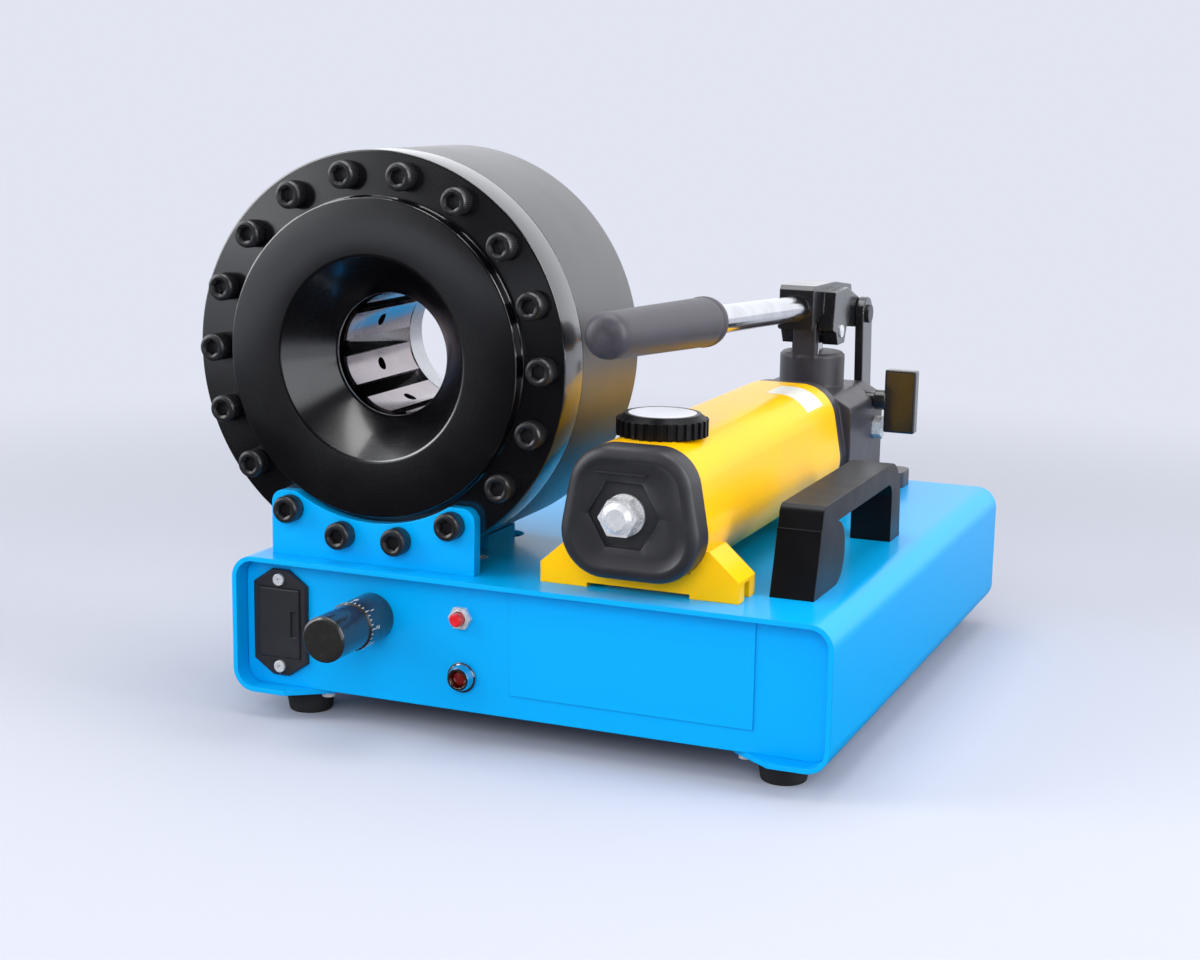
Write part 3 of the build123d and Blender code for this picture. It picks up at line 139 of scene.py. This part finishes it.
# each look's lighter edge colour is part wear, part painted edge highlight
paintLook = {"colour": (0.0, 0.35, 0.78), "rough": 0.28, "spotScale": 5, "shadeBy": 0.985,
        "roughSpread": 0.012, "grainScale": 520,
             "bump": 0.025, "edge": 0.8, "edgeWearAndSheen": 0.1, "edgeWearAndSheenColour": (0.25, 0.62, 0.95),
             "sockets": {"Coat Weight": 0.1, "Coat Roughness": 0.08, "Specular IOR Level": 0.12}}
headLook = {"colour": (0.0012, 0.0011, 0.0020), "rough": 0.2, "spotScale": 20, "grainScale": 700,
        "bump": 0.03,
            "edge": 0.8, "edgeWearAndSheen": 0.5, "edgeWearAndSheenColour": (0.16, 0.16, 0.18), "roughSpread": 0.08,
            "sockets": {"Specular IOR Level": 0.8, "Coat Weight": 1.0, "Coat Roughness": 0.12}}
dieLook = {"colour": (0.46, 0.41, 0.43), "rough": 0.2, "spotScale": 45, "shadeBy": 0.8, "grainScale": 260,
           "grainStretch": (3, 0.1, 3), "bump": 0.25, "bumpDepth": 0.05, "edge": 0.4, "roughSpread": 0.12,
           "sockets": {"Metallic": 1.0}}
# the barrel's copy of the head finish: lighter colour as painted sheen where the barrel's side catches the
# light, with a rougher coat
headSideLook = {**headLook, "colour": (0.006, 0.005, 0.008), "rough": 0.44,
                "sockets": {"Specular IOR Level": 0.9, "Coat Weight": 1.0, "Coat Roughness": 0.42}}
turnedLook = {"colour": (0.55, 0.56, 0.58), "rough": 0.25, "spotScale": 40, "grainScale": 400,
              "grainStretch": (0.3, 6,
                      0.3), "bump": 0.3, "bumpDepth": 0.05, "edge": 0.4, "sockets": {"Metallic": 1.0}}
polishedLook = {"colour": (0.70, 0.71, 0.74), "rough": 0.1, "spotScale": 60, "grainScale": 300,
                "grainStretch": (1, 8,
                        1), "bump": 0.08, "bumpDepth": 0.03, "edge": 0.3, "sockets": {"Metallic": 1.0}}
zincLook = {"colour": (0.80, 0.81, 0.83), "rough": 0.24, "spotScale": 300, "shadeBy": 0.92,
        "grainScale": 1600,
            "bump": 0.12, "bumpDepth": 0.05, "edge": 0.4, "sockets": {"Metallic": 0.45}}
oxideLook = {"colour": (0.012, 0.012, 0.014), "rough": 0.3, "spotScale": 260, "grainScale": 1500,
        "bump": 0.15,
             "bumpDepth": 0.05, "edge": 0.4, "edgeWearAndSheen": 0.6, "edgeWearAndSheenColour": (0.2, 0.2,
                     0.2), "sockets": {"Specular IOR Level": 0.6}}
yellowLook = {"colour": (1.0, 0.53, 0.0), "rough": 0.3, "spotScale": 22, "shadeBy": 0.95, "grainScale": 600,
              "bump": 0.06, "edge": 0.8, "edgeWearAndSheen": 0.2, "edgeWearAndSheenColour": (1.0, 0.82, 0.25),
              "sockets": {"Coat Weight": 0.12, "Coat Roughness": 0.1, "Specular IOR Level": 0.15}}
mouldedLook = {"colour": (0.004, 0.004, 0.005), "rough": 0.3, "spotScale": 40, "grainScale": 1800,
        "bump": 0.35,
               "bumpDepth": 0.08, "edge": 0.8, "sockets": {"Specular IOR Level": 0.2}}
capLook = {"colour": (0.022, 0.022, 0.026), "rough": 0.4, "spotScale": 50, "grainScale": 1300, "bump": 0.4,
           "bumpDepth": 0.1, "edge": 0.8, "sockets": {"Specular IOR Level": 0.5}}
castLook = {"colour": (0.010, 0.010, 0.012), "rough": 0.2, "spotScale": 60, "grainScale": 320, "bump": 0.35,
            "bumpDepth": 0.25, "edge": 1.2, "edgeWearAndSheen": 0.3, "edgeWearAndSheenColour": (0.14, 0.14, 0.15),
            "sockets": {"Coat Weight": 0.5, "Coat Roughness": 0.08, "Specular IOR Level": 0.5}}
bodyLook = {**castLook, "colour": (0.030, 0.027, 0.034), "rough": 0.42, "edge": 2.5,
            "sockets": {"Coat Weight": 0.15, "Coat Roughness": 0.2, "Specular IOR Level": 0.5}}
gripLook = {"colour": (0.050, 0.046, 0.058), "rough": 0.42, "spotScale": 120, "shadeBy": 0.7,
        "grainScale": 420,
            "bump": 0.45, "bumpDepth": 0.15, "sockets": {"Specular IOR Level": 0.45}}
rubberLook = {"colour": (0.02, 0.02, 0.021), "rough": 0.6, "spotScale": 90, "grainScale": 1200, "bump": 0.4,
              "bumpDepth": 0.1, "edge": 0.8}
redLook = {"colour": (0.70, 0.015, 0.02), "rough": 0.2, "spotScale": 300, "grainScale": 1500, "bump": 0.05,
        "edge": 0.4,
           "sockets": {"Coat Weight": 0.5}}
whiteLook = {"colour": (0.78, 0.79, 0.86), "rough": 0.4, "spotScale": 90, "shadeBy": 0.93,
        "grainScale": 900,
             "bump": 0.08, "edge": 0.4}
lensLook = {"colour": (0.16, 0.008, 0.006), "rough": 0.08, "spotScale": 400, "grainScale": 700, "bump": 0.1,
            "sockets": {"Coat Weight": 1.0, "Coat Roughness": 0.03}}
labelLook = {"colour": (0.72, 0.71, 0.66), "rough": 0.35, "spotScale": 150, "shadeBy": 0.9,
        "grainScale": 900, "bump": 0.1}


dialLook = {"colour": (0.020, 0.019, 0.018), "rough": 0.22, "spotScale": 200, "grainScale": 1500,
        "bump": 0.12,
            "bumpDepth": 0.05, "edge": 0.5, "edgeWearAndSheen": 0.8, "edgeWearAndSheenColour": (0.35, 0.35, 0.36),
            "sockets": {"Specular IOR Level": 0.7, "Coat Weight": 0.5}}


head = {"x": -100, "y": 22.2, "z": 222, "flange": 120, "seam": 25, "length": 112, "bossRadius": 93.5,
        "boss": 8.5,
        "funnel": 60, "throat": 36.5, "bore": 96.8, "pcd": 107, "segments": 256}


def fromHeadAxis(w):
    # distance from the head's own axis
    place = w.add("TexCoord", output=3).vector("SUBTRACT", tuple(at(head["x"], 0, head["z"])))
    return place.vector("MULTIPLY", (1, 0, 1)).vector("LENGTH", (0, 0, 0), 1)


def turnedRings(w, mixed, rough, grain):
    # faint lathe marks round the head's own axis
    flat = fromHeadAxis(w)
    wave = w.add("TexNoise", {"noise_dimensions": "1D"}, {"W": flat * 1400, "Scale": 1.0, "Detail": 3})
    return mixed, rough + (wave - 0.5) * 0.1, grain * 0.3 + wave * 0.7


def shadedGaps(w, mixed, rough, grain):
    # painted shade: darker behind the working face, in the gaps between the dies, and rougher there
    deep = fromHeadAxis(w).step(36.9 * mm, 38.5 * mm)
    return deep.blend(mixed, (0.012, 0.011, 0.012)), rough + deep * 0.3, grain


finishes = {
    "paint": newMaterial("bluePaint", paintLook),
    "head": newMaterial("blackenedHead", headLook, turnedRings),
    # lighter copy of the head finish: painted sheen on the barrel
    "headSide": newMaterial("blackenedBarrel", headSideLook, turnedRings),
    "die": newMaterial("groundDie", dieLook, shadedGaps),
    "turned": newMaterial("turnedSteel", turnedLook),
    "polished": newMaterial("polishedSteel", polishedLook),
    "zinc": newMaterial("brightZinc", zincLook),
    "oxide": newMaterial("blackOxide", oxideLook),
    "yellow": newMaterial("yellowPaint", yellowLook),
    "moulded": newMaterial("mouldedPlastic", mouldedLook),
    "cap": newMaterial("capPlastic", capLook),
    "cast": newMaterial("castBlack", castLook),
    "body": newMaterial("castBody", bodyLook),
    "grip": newMaterial("gripPlastic", gripLook),
    "rubber": newMaterial("footRubber", rubberLook),
    "red": newMaterial("redPlastic", redLook),
    "white": newMaterial("whitePlastic", whiteLook),
    "lens": newMaterial("lampLens", lensLook),
    "label": newMaterial("blankLabel", labelLook),
    "dial": newMaterial("dialBlack", dialLook),
}
print("finishes made:", len(finishes))

nodeFinish = {
    "paint": ["base_shell", "front_panel", "rear_panel", "cover_plate", "head_bracket", "head_saddle"],
    "head": ["head_cover", "head_cylinder"],
    "turned": ["ring_piston", "dial_spindle", "stroke_arm"],
    "polished": ["handle_tube", "pump_plunger", "pressure_pipe", "lamp_bezel"],
    "zinc": ["foot_screws", "base_screws", "tie_bolt", "battery_screws", "button_switch", "plunger_pin",
             "pump_plug", "port_fitting", "outlet_elbow", "mount_screws"],
    "oxide": ["flange_screws", "bracket_screws", "arm_screws", "link_pins"],
    "dial": ["dial_sleeve", "dial_thimble"],
    "yellow": ["pump_tank"],
    "moulded": ["battery", "fill_cap", "carry_handle"],
    "cap": ["pump_end_cap", "battery_holder", "battery_drawer"],
    "cast": ["pump_body", "pump_yoke", "link_plates", "release_knob"],
    "grip": ["handle_grip"],
    "rubber": ["rubber_feet", "piston_seal", "rod_seal", "pipe_grommet"],
    "red": ["push_button"],
    "white": ["fill_cap_disc"],
    "lens": ["lamp_lens"],
    "die": [f"die_{i + 1}" for i in range(8)],
}
for finish, names in nodeFinish.items():
    for name in names:
        mesh = nodes[name].data
        mesh.materials.clear()
        mesh.materials.append(finishes[finish])


# ---- mesh helpers


def newPiece(name, verts, faces, finish, body, replaced=(), smooth=True):
    mesh = bpy.data.meshes.new(name)
    mesh.from_pydata([tuple(v) for v in verts], [], faces)
    bm = bmesh.new()
    bm.from_mesh(mesh)
    bmesh.ops.recalc_face_normals(bm, faces=bm.faces)
    bm.to_mesh(mesh)
    bm.free()
    if smooth:
        mesh.shade_smooth()
        mesh.set_sharp_from_angle(angle=radians(38))
    mesh.materials.append(finishes[finish])
    piece = bpy.data.objects.new(name, mesh)
    bpy.context.scene.collection.objects.link(piece)
    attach(piece, body)
    if replaced:
        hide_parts(*replaced)
    return piece


def softened(points, radius, steps=4):
    # rounds each inner corner of an open (radius, depth) outline
    out = [points[0]]
    for before, here, after in zip(points, points[1:], points[2:]):
        a, b = (Vector(p) - Vector(here) for p in (before, after))
        reach = min(radius, a.length * 0.45, b.length * 0.45)
        if reach < 0.02:
            out.append(here)
            continue
        p0, p2 = (Vector(here) + v.normalized() * reach for v in (a, b))
        for i in range(steps + 1):
            t = i / steps
            q = p0 * (1 - t) ** 2 + Vector(here) * 2 * t * (1 - t) + p2 * t * t
            out.append((q.x, q.y))
    return out + [points[-1]]


def lathe(outline, segments, place, ridges=None, closed=False):
    # outline of (radius, depth) in mm turned round the local depth axis; place maps (x, y, depth) to the row
    verts, faces = [], []
    n = len(outline)
    for i in range(segments):
        a = 2 * pi * i / segments
        for r, d in outline:
            rr = r * mm if ridges is None else (r + ridges(r, d, i)) * mm
            verts.append(place @ Vector((rr * cos(a), rr * sin(a), d * mm)))
        k = ((i + 1) % segments) * n
        for j in range(n if closed else n - 1):
            m = (j + 1) % n
            faces.append((i * n + j, i * n + m, k + m, k + j))
    return verts, faces


def facing(x, y, z, direction=(0, -1, 0)):
    # local depth axis along direction, from a place in mm
    turn = Vector((0, 0, 1)).rotation_difference(Vector(direction).normalized()).to_matrix().to_4x4()
    return Matrix.Translation(at(x, y, z)) @ turn


def buildHead(h):
    # depth counts forwards from the flange's front face; both bodies are closed, with their bores
    front = softened([(h["throat"], -19.8), (h["throat"], -17.5), (h["funnel"], h["boss"]),
            (h["bossRadius"], h["boss"]),
                      (h["bossRadius"], 0.15), (h["flange"], 0), (h["flange"], -h["seam"] + 0.25),
                      (h["flange"] - 0.8, -h["seam"] + 0.1), (h["bore"], -h["seam"] + 0.1), (h["bore"],
                              -55.5), (86, -55.5)], 1.2)
    place = facing(h["x"], h["y"], h["z"])
    newPiece("headFront", *lathe(front, h["segments"], place, closed=True), "head", "machine",
            ["head_cover"])
    rear = softened([(h["bore"], -h["seam"] - 0.1), (h["flange"] - 0.8, -h["seam"] - 0.1),
            (h["flange"], -h["seam"] - 0.4),
                     (h["flange"], -h["length"]), (68.05, -h["length"]), (68.05, -96), (h["bore"],
                             -96)], 3, 8)
    newPiece("headBarrel", *lathe(rear, h["segments"], place, closed=True), "headSide", "machine",
            ["head_cylinder"])


screw = {"head": 8, "high": 10, "hex": 4.62, "deep": 5.5, "knurls": 48}


def buildScrews(name, angles, forward, replaced):
    # knurled cap screws with a chamfered hexagon socket
    verts, faces = [], []
    h, s = head, screw
    side = [(s["head"] - 0.35, 0), (s["head"], 0.5), (s["head"], s["high"] - 1.6),
            (s["head"] - 0.25, s["high"] - 1.2),
            (s["head"] - 0.7, s["high"] - 0.25), (s["head"] - 1.2, s["high"]), (5.6, s["high"]), (5.0,
                    s["high"] - 0.6)]

    def knurl(r, d, i):
        return 0.22 if (i % 4) < 2 and r >= s["head"] - 0.01 and 0.4 < d < s["high"] - 1.5 else 0

    for angle in angles:
        a = radians(angle)
        place = facing(h["x"] + h["pcd"] * sin(a), h["y"] - forward,
                h["z"] + h["pcd"] * cos(a)) @ Matrix.Rotation(a * 7, 4, "Z")
        n = s["knurls"] * 4
        v, f = lathe(side, n, place, knurl)
        base, rows = len(verts), len(side)
        verts += v
        faces += [tuple(base + q for q in face) for face in f]
        mouth = [base + i * rows + rows - 1 for i in range(n)]
        low = len(verts)
        for i in range(n):
            t = 2 * pi * i / n
            reach = s["hex"] * cos(pi / 6) / cos((t % (pi / 3)) - pi / 6)
            for d in (s["high"] - 1.0, s["high"] - s["deep"]):
                verts.append(place @ Vector((reach * cos(t) * mm, reach * sin(t) * mm, d * mm)))
        for i in range(n):
            k = (i + 1) % n
            faces.append((mouth[i], low + 2 * i, low + 2 * k, mouth[k]))
            faces.append((low + 2 * i, low + 2 * i + 1, low + 2 * k + 1, low + 2 * k))
        faces.append(tuple(low + 2 * i + 1 for i in range(n)))
    return newPiece(name, verts, faces, "oxide", "machine", [replaced])


buildHead(head)
buildScrews("flangeScrewHeads", [10 + 20 * i for i in range(18) if not 140 < 10 + 20 * i < 220], 0,
        "flange_screws")
buildScrews("bracketScrewHeads", [150, 170, 190, 210], 8, "bracket_screws")
print("head and its screws built")


# ---- pump reservoir cap, label and handle

tank = {"x": 66, "low": 110, "high": 185.5, "half": (46.5, 33), "round": (26, 24), "bolt": (62.6, 147)}


def tankReach(t, inset, angle, centre):
    # distance from centre to the tank's section, shrunk by inset, in the direction of angle
    (hx0, hx1), (r0, r1) = t["half"], t["round"]
    lean = atan2(t["high"] - t["low"], hx0 - hx1)
    corners = [(t["x"] + side * x, z, r) for side, x, z, r in
               ((1, hx0, t["low"], r0), (1, hx1, t["high"], r1), (-1, hx1, t["high"], r1),
                       (-1, hx0, t["low"], r0))]
    side = atan2(cos(lean), sin(lean))
    arcs = [(-pi / 2, side), (side, pi / 2), (pi / 2, pi - side), (pi - side, 3 * pi / 2)]
    outline = []
    for k, (x, z, r) in enumerate(corners):
        a0, a1 = arcs[k]
        away = r / sin((pi - (a1 - a0)) / 2)
        bisect = (a0 + a1) / 2
        cx, cz = x - away * cos(bisect), z - away * sin(bisect)
        for i in range(13):
            a = a0 + (a1 - a0) * i / 12
            outline.append((cx + (r - inset) * cos(a), cz + (r - inset) * sin(a)))
    ux, uz = cos(angle), sin(angle)
    for (x0, z0), (x1, z1) in zip(outline, outline[1:] + outline[:1]):
        ex, ez = x1 - x0, z1 - z0
        det = ux * ez - uz * ex
        if abs(det) > 1e-9:
            qx, qz = x0 - centre[0], z0 - centre[1]
            far, along = (qx * ez - qz * ex) / det, (qx * uz - qz * ux) / det
            if far > 0 and -1e-6 <= along <= 1 + 1e-6:
                return far
    return 1


def stacked(rings):
    # closed surface through rings of equal length, the last joined to the first
    n = len(rings[0])
    verts = [v for ring in rings for v in ring]
    faces = []
    for k in range(len(rings)):
        a, b = k * n, ((k + 1) % len(rings)) * n
        faces += [(a + i, a + (i + 1) % n, b + (i + 1) % n, b + i) for i in range(n)]
    return verts, faces


def hexReach(flat, angle):
    return flat / cos(angle % (pi / 3) - pi / 6)


def buildCap(t):
    cx, cz = t["bolt"]
    angles = [2 * pi * i / 240 for i in range(240)]

    def ring(y, reach):
        return [at(cx + reach(a) * cos(a), y, cz + reach(a) * sin(a)) for a in angles]

    profile = [(0, 21.9), (0, 9.5), (0.35, 7.6), (1.4, 5.9), (3.2, 4.6), (5.5, 4.05), (6.6, 4.0),
            (7.6, 4.35), (8.6, 5.2), (14, 5.9)]
    rings = [ring(y, lambda a, o=o: tankReach(t, o, a, t["bolt"])) for o, y in profile]
    rings += [ring(y, lambda a, f=f: hexReach(f, a)) for f, y in ((19.6, 6.3), (18.6, 6.9), (18.4, 9.8))]
    rings += [ring(9.8, lambda a: 5.2), ring(21.9, lambda a: 5.2)]
    newPiece("endCapMoulding", *stacked(rings), "cap", "machine", ["pump_end_cap"])
    bar = [at(cx - 16 + x * 30, 5.1 - y, cz + 23.4 + z * 0.9) for x in (0, 1) for y in (-0.8,
            0.5) for z in (0, 1)]
    newPiece("endCapRib", bar, [(0, 1, 3, 2), (4, 6, 7, 5), (0, 4, 5, 1), (2, 3, 7, 6), (0, 2, 6, 4),
            (1, 5, 7, 3)], "cap", "machine")
    label = []
    for inset in (-0.22, -0.02):
        for y in (232, 236, 262, 266):
            for k in range(13):
                a = radians(84 - 44 * k / 12)
                r = tankReach(t, inset, a, (66, 147))
                label.append(at(66 + r * cos(a), y, 147 + r * sin(a)))
    faces = []
    for layer in (0, 52):
        faces += [(layer + j * 13 + i, layer + j * 13 + i + 1, layer + j * 13 + i + 14,
                layer + j * 13 + i + 13) for j in range(3) for i in range(12)]
    rim = list(range(13)) + [25, 38, 51] + list(range(50, 38, -1)) + [26, 13]
    faces += [(a, b, b + 52, a + 52) for a, b in zip(rim, rim[1:] + rim[:1])]
    newPiece("blankLabel", label, faces, "label", "machine")


grip = {"x": 66, "rear": 124, "tilt": radians(3.15), "pivotY": 312, "pivotZ": 232.5, "tube": 9.0,
        "bead": 14.75,
        "taper": 1.9, "steps": 20, "step": 7.0}


def buildGrip(g):
    # moulded grip with a domed front end and a stepped rear bead
    rise = (g["pivotY"] - g["rear"]) * tan(g["tilt"])
    place = facing(g["x"], g["rear"], g["pivotZ"] + rise, (0, -cos(g["tilt"]), sin(g["tilt"])))
    outline = [(g["tube"], 0.2), (14.2, 0.2), (15.0, 1.0), (15.2, 2.2), (15.2, 6.5), (14.9, 7.4),
            (14.6, 8.0), (14.75, 9.2)]
    outline += [(g["bead"] - g["taper"] * i / g["steps"], 9.2 + g["step"] * i) for i in range(1,
            g["steps"] + 1)]
    outline += [(12.75, 152), (12.4, 154.8), (11.5, 157.4), (9.8, 159.4), (7.4, 160.6), (4, 161.1),
            (0.02, 161.2)]
    verts, faces = lathe(outline + [(0.02, 158), (g["tube"], 158)], 96, place, closed=True)
    newPiece("gripMoulding", verts, faces, "grip", "handle", ["handle_grip"])


digits = {"0": "abcdef", "1": "bc", "2": "abged", "3": "abgcd", "4": "fgbc", "5": "afgcd", "6": "afgedc",
        "7": "abc"}
strokes = {"a": (0, 2, 1, 2), "b": (1, 1, 1, 2), "c": (1, 0, 1, 1), "d": (0, 0, 1, 0), "e": (0, 0, 0, 1),
        "f": (0, 1, 0, 2), "g": (0, 1, 1, 1)}


dial = {"x": -98.5, "z": 69, "radius": 14.5, "across": 1.4, "up": 1.6, "width": 0.42, "ticks": 32,
        "front": -14.2,
        "longEnd": -10.2, "shortEnd": -12, "numbers": -8.6}


def buildDialMarks(d):
    # engraved and filled scale: ticks every 11.25 degrees, a plain number at every fourth
    verts, faces = [], []
    radius, half = d["radius"], d["width"] / 2

    def strip(u0, v0, u1, v1):
        # u in mm round the sleeve, v in mm along it
        base = len(verts)
        for raised in (-0.02, 0.08):
            for u, v in ((u0, v0), (u1, v0), (u1, v1), (u0, v1)):
                a = u / radius
                verts.append(at(d["x"] + (radius + raised) * sin(a), v,
                        d["z"] + (radius + raised) * cos(a)))
        b = base
        faces.extend([(b, b + 1, b + 2, b + 3), (b + 4, b + 7, b + 6, b + 5), (b, b + 4, b + 5, b + 1),
                (b + 1, b + 5, b + 6, b + 2),
                      (b + 2, b + 6, b + 7, b + 3), (b + 3, b + 7, b + 4, b)])

    for k in range(d["ticks"]):
        u = radius * 2 * pi * k / d["ticks"]
        strip(u - half, d["front"], u + half, d["longEnd"] if k % 4 == 0 else d["shortEnd"])
        if k % 4 == 0:
            for stroke in digits[str(k // 4)]:
                x0, y0, x1, y1 = strokes[stroke]
                left, right = u + (x0 - 0.5) * d["across"] - half, u + (x1 - 0.5) * d["across"] + half
                strip(left, d["numbers"] + y0 * d["up"] - half, right, d["numbers"] + y1 * d["up"] + half)
    newPiece("dialMarks", verts, faces, "label", "machine", smooth=False)


# ---- edges rounded on pressed, cast and moulded parts

rounded = {
    "carry_handle": ("machine", "moulded", 2.2), "release_knob": ("release_knob", "cast", 1.2),
    "link_plates": ("links", "cast", 0.8), "pump_yoke": ("handle", "cast", 1.5), "pump_body": ("machine",
            "body", 2.4),
    "head_bracket": ("machine", "paint", 0.7), "battery_holder": ("machine", "cap", 0.5),
    "rubber_feet": ("machine", "rubber", 1.0), "dial_thimble": ("dial_thimble", "dial", 0.5),
}


def roundEdges(name, body, finish, radius):
    source = nodes[name]
    bm = bmesh.new()
    bm.from_mesh(source.data)
    bm.transform(source.matrix_world)
    bmesh.ops.remove_doubles(bm, verts=bm.verts, dist=0.00002)
    bmesh.ops.dissolve_limit(bm, angle_limit=radians(0.6), verts=bm.verts, edges=bm.edges)
    sharp = [e for e in bm.edges
             if len(e.link_faces) == 2 and e.is_convex and e.calc_face_angle(0) > radians(32)]
    bmesh.ops.bevel(bm, geom=sharp, offset=radius * mm, offset_type="OFFSET", segments=3, profile=0.5,
            affect="EDGES", clamp_overlap=True)
    mesh = bpy.data.meshes.new(name + "Rounded")
    bm.to_mesh(mesh)
    bm.free()
    piece = newPiece(name + "Rounded", [v.co for v in mesh.vertices],
            [tuple(p.vertices) for p in mesh.polygons], finish, body, [name])
    even = piece.modifiers.new("even", "WEIGHTED_NORMAL")
    even.keep_sharp = True
    bpy.data.meshes.remove(mesh)
    return piece


buildCap(tank)
buildGrip(grip)
buildDialMarks(dial)
for name, (body, finish, radius) in rounded.items():
    roundEdges(name, body, finish, radius)
print("cap, grip, marks and rounded parts built")


# ---- camera

cameraSetup = {"place": (468.5, -1011.3, 385.4), "forward": (-0.374199, 0.906520, -0.195438),
        "roll": 0.017, "lens": 60.86}


def makeCamera(c):
    cam = bpy.data.objects.new("camera", bpy.data.cameras.new("camera"))
    bpy.context.scene.collection.objects.link(cam)
    ahead = Vector(c["forward"]).normalized()
    right = ahead.cross(Vector((0, 0, 1))).normalized()
    up = right.cross(ahead)
    r = cos(c["roll"]) * right + sin(c["roll"]) * up
    u = -sin(c["roll"]) * right + cos(c["roll"]) * up
    cam.matrix_world = Matrix.Translation(at(*c["place"])) @ Matrix((r, u, -ahead)).transposed().to_4x4()
    cam.data.lens = c["lens"]
    cam.data.sensor_width = 36
    cam.data.clip_end = 60
    bpy.context.scene.camera = cam


makeCamera(cameraSetup)


# ---- floor, light

studio = {"back": (0.76, 0.785, 0.885), "worldLight": 0.6, "floor": 0.61, "frontDark": 0.02,
        "backBright": 1.3,
          "sideBright": 1.4}


def makeStudio(s):
    scene = bpy.context.scene
    scene.view_settings.view_transform = "Standard"
    world = bpy.data.worlds.new("studio")
    scene.world = world
    world.use_nodes = True
    world.node_tree.nodes.clear()
    w = Wire(world.node_tree)
    path = w.add("LightPath").out.node.outputs
    seen = w.maths("MAXIMUM", Wire(w.tree, path["Is Camera Ray"]),
            Wire(w.tree, path["Is Transmission Ray"]))
    ahead = w.add("TexCoord", output=0).vector("DOT_PRODUCT", (-0.25, 0.9, 0.35), 1).step(-0.35, 0.75)
    mirrored = ahead * (s["backBright"] - s["frontDark"]) + s["frontDark"]
    left = w.add("TexCoord", output=0).vector("DOT_PRODUCT", (-0.94, -0.33, 0.09), 1).step(0.66, 0.9)
    right = w.add("TexCoord", output=0).vector("DOT_PRODUCT", (0.868, -0.45, 0.21), 1).step(0.85, 0.93)
    mirrored = w.maths("MAXIMUM", mirrored, w.maths("MAXIMUM", left, right) * s["sideBright"])
    strength = Wire(w.tree, path["Is Glossy Ray"]) * (mirrored - s["worldLight"]) + s["worldLight"]
    lit = w.add("Background", {}, {"Color": (0.93, 0.95, 1.0, 1), "Strength": strength})
    plain = w.add("Background", {}, {"Color": (*s["back"], 1), "Strength": 1.0})
    w.add("OutputWorld", {}, {"Surface": w.add("MixShader", {}, {0: seen, 1: lit, 2: plain})})
    bpy.ops.mesh.primitive_grid_add(size=24, x_subdivisions=2, y_subdivisions=2)
    floor = bpy.context.object
    floor.name = "floor"
    m = bpy.data.materials.new("paleFloor")
    m.use_nodes = True
    m.node_tree.nodes.clear()
    w = Wire(m.node_tree)
    place = w.add("TexCoord", output=3)
    far = place.vector("LENGTH", (0, 0, 0), 1).step(0.4, 1.3)
    path = w.add("LightPath").out.node.outputs
    behind = place.vector("DOT_PRODUCT", (-0.3, 1, 0), 1).step(-0.3, 1.0)
    right = place.vector("DOT_PRODUCT", (1, 0, 0), 1).step(0.35, 0.9)
    left = place.vector("DOT_PRODUCT", (-1, 0, 0), 1).step(0.8, 1.5) * 0.7
    behind = w.maths("MAXIMUM", behind, w.maths("MAXIMUM", left, right))
    glow = 1 - Wire(w.tree, path["Is Glossy Ray"]) * (1 - behind) * 0.97
    shade = glow.blend((0, 0, 0), [c * s["floor"] for c in s["back"]])
    near = w.add("BsdfDiffuse", {}, {"Color": shade})
    flat = w.add("Emission", {}, {"Color": (*s["back"], 1), "Strength": glow})
    w.add("OutputMaterial", {}, {"Surface": w.add("MixShader", {}, {0: far, 1: near, 2: flat})})
    floor.data.materials.append(m)


lamps = {
    "top": {"place": (0, 150, 1500), "aim": (0, 150, 150), "size": (1.1, 1.1), "power": 12,
            "mirrored": True},
    "left": {"place": (-1300, -700, 900), "aim": (0, 100, 150), "size": (0.8, 1.3), "power": 15,
            "mirrored": True},
    "right": {"place": (1300, 100, 800), "aim": (0, 150, 180), "size": (0.5, 1.4), "power": 16,
            "mirrored": True},
    "front": {"place": (300, -1500, 900), "aim": (0, 100, 150), "size": (1.2, 0.8), "power": 17,
            "mirrored": False},
}


def makeLamps(all):
    for name, v in all.items():
        data = bpy.data.lights.new(name, "AREA")
        data.shape = "RECTANGLE"
        data.size, data.size_y = v["size"]
        data.energy = v["power"]
        lamp = bpy.data.objects.new(name, data)
        bpy.context.scene.collection.objects.link(lamp)
        lamp.visible_glossy = v["mirrored"]
        lamp.location = at(*v["place"])
        lamp.rotation_mode = "QUATERNION"
        lamp.rotation_quaternion = (at(*v["aim"]) - lamp.location).to_track_quat("-Z", "Y")


makeStudio(studio)
makeLamps(lamps)
print("camera, floor and lamps made")
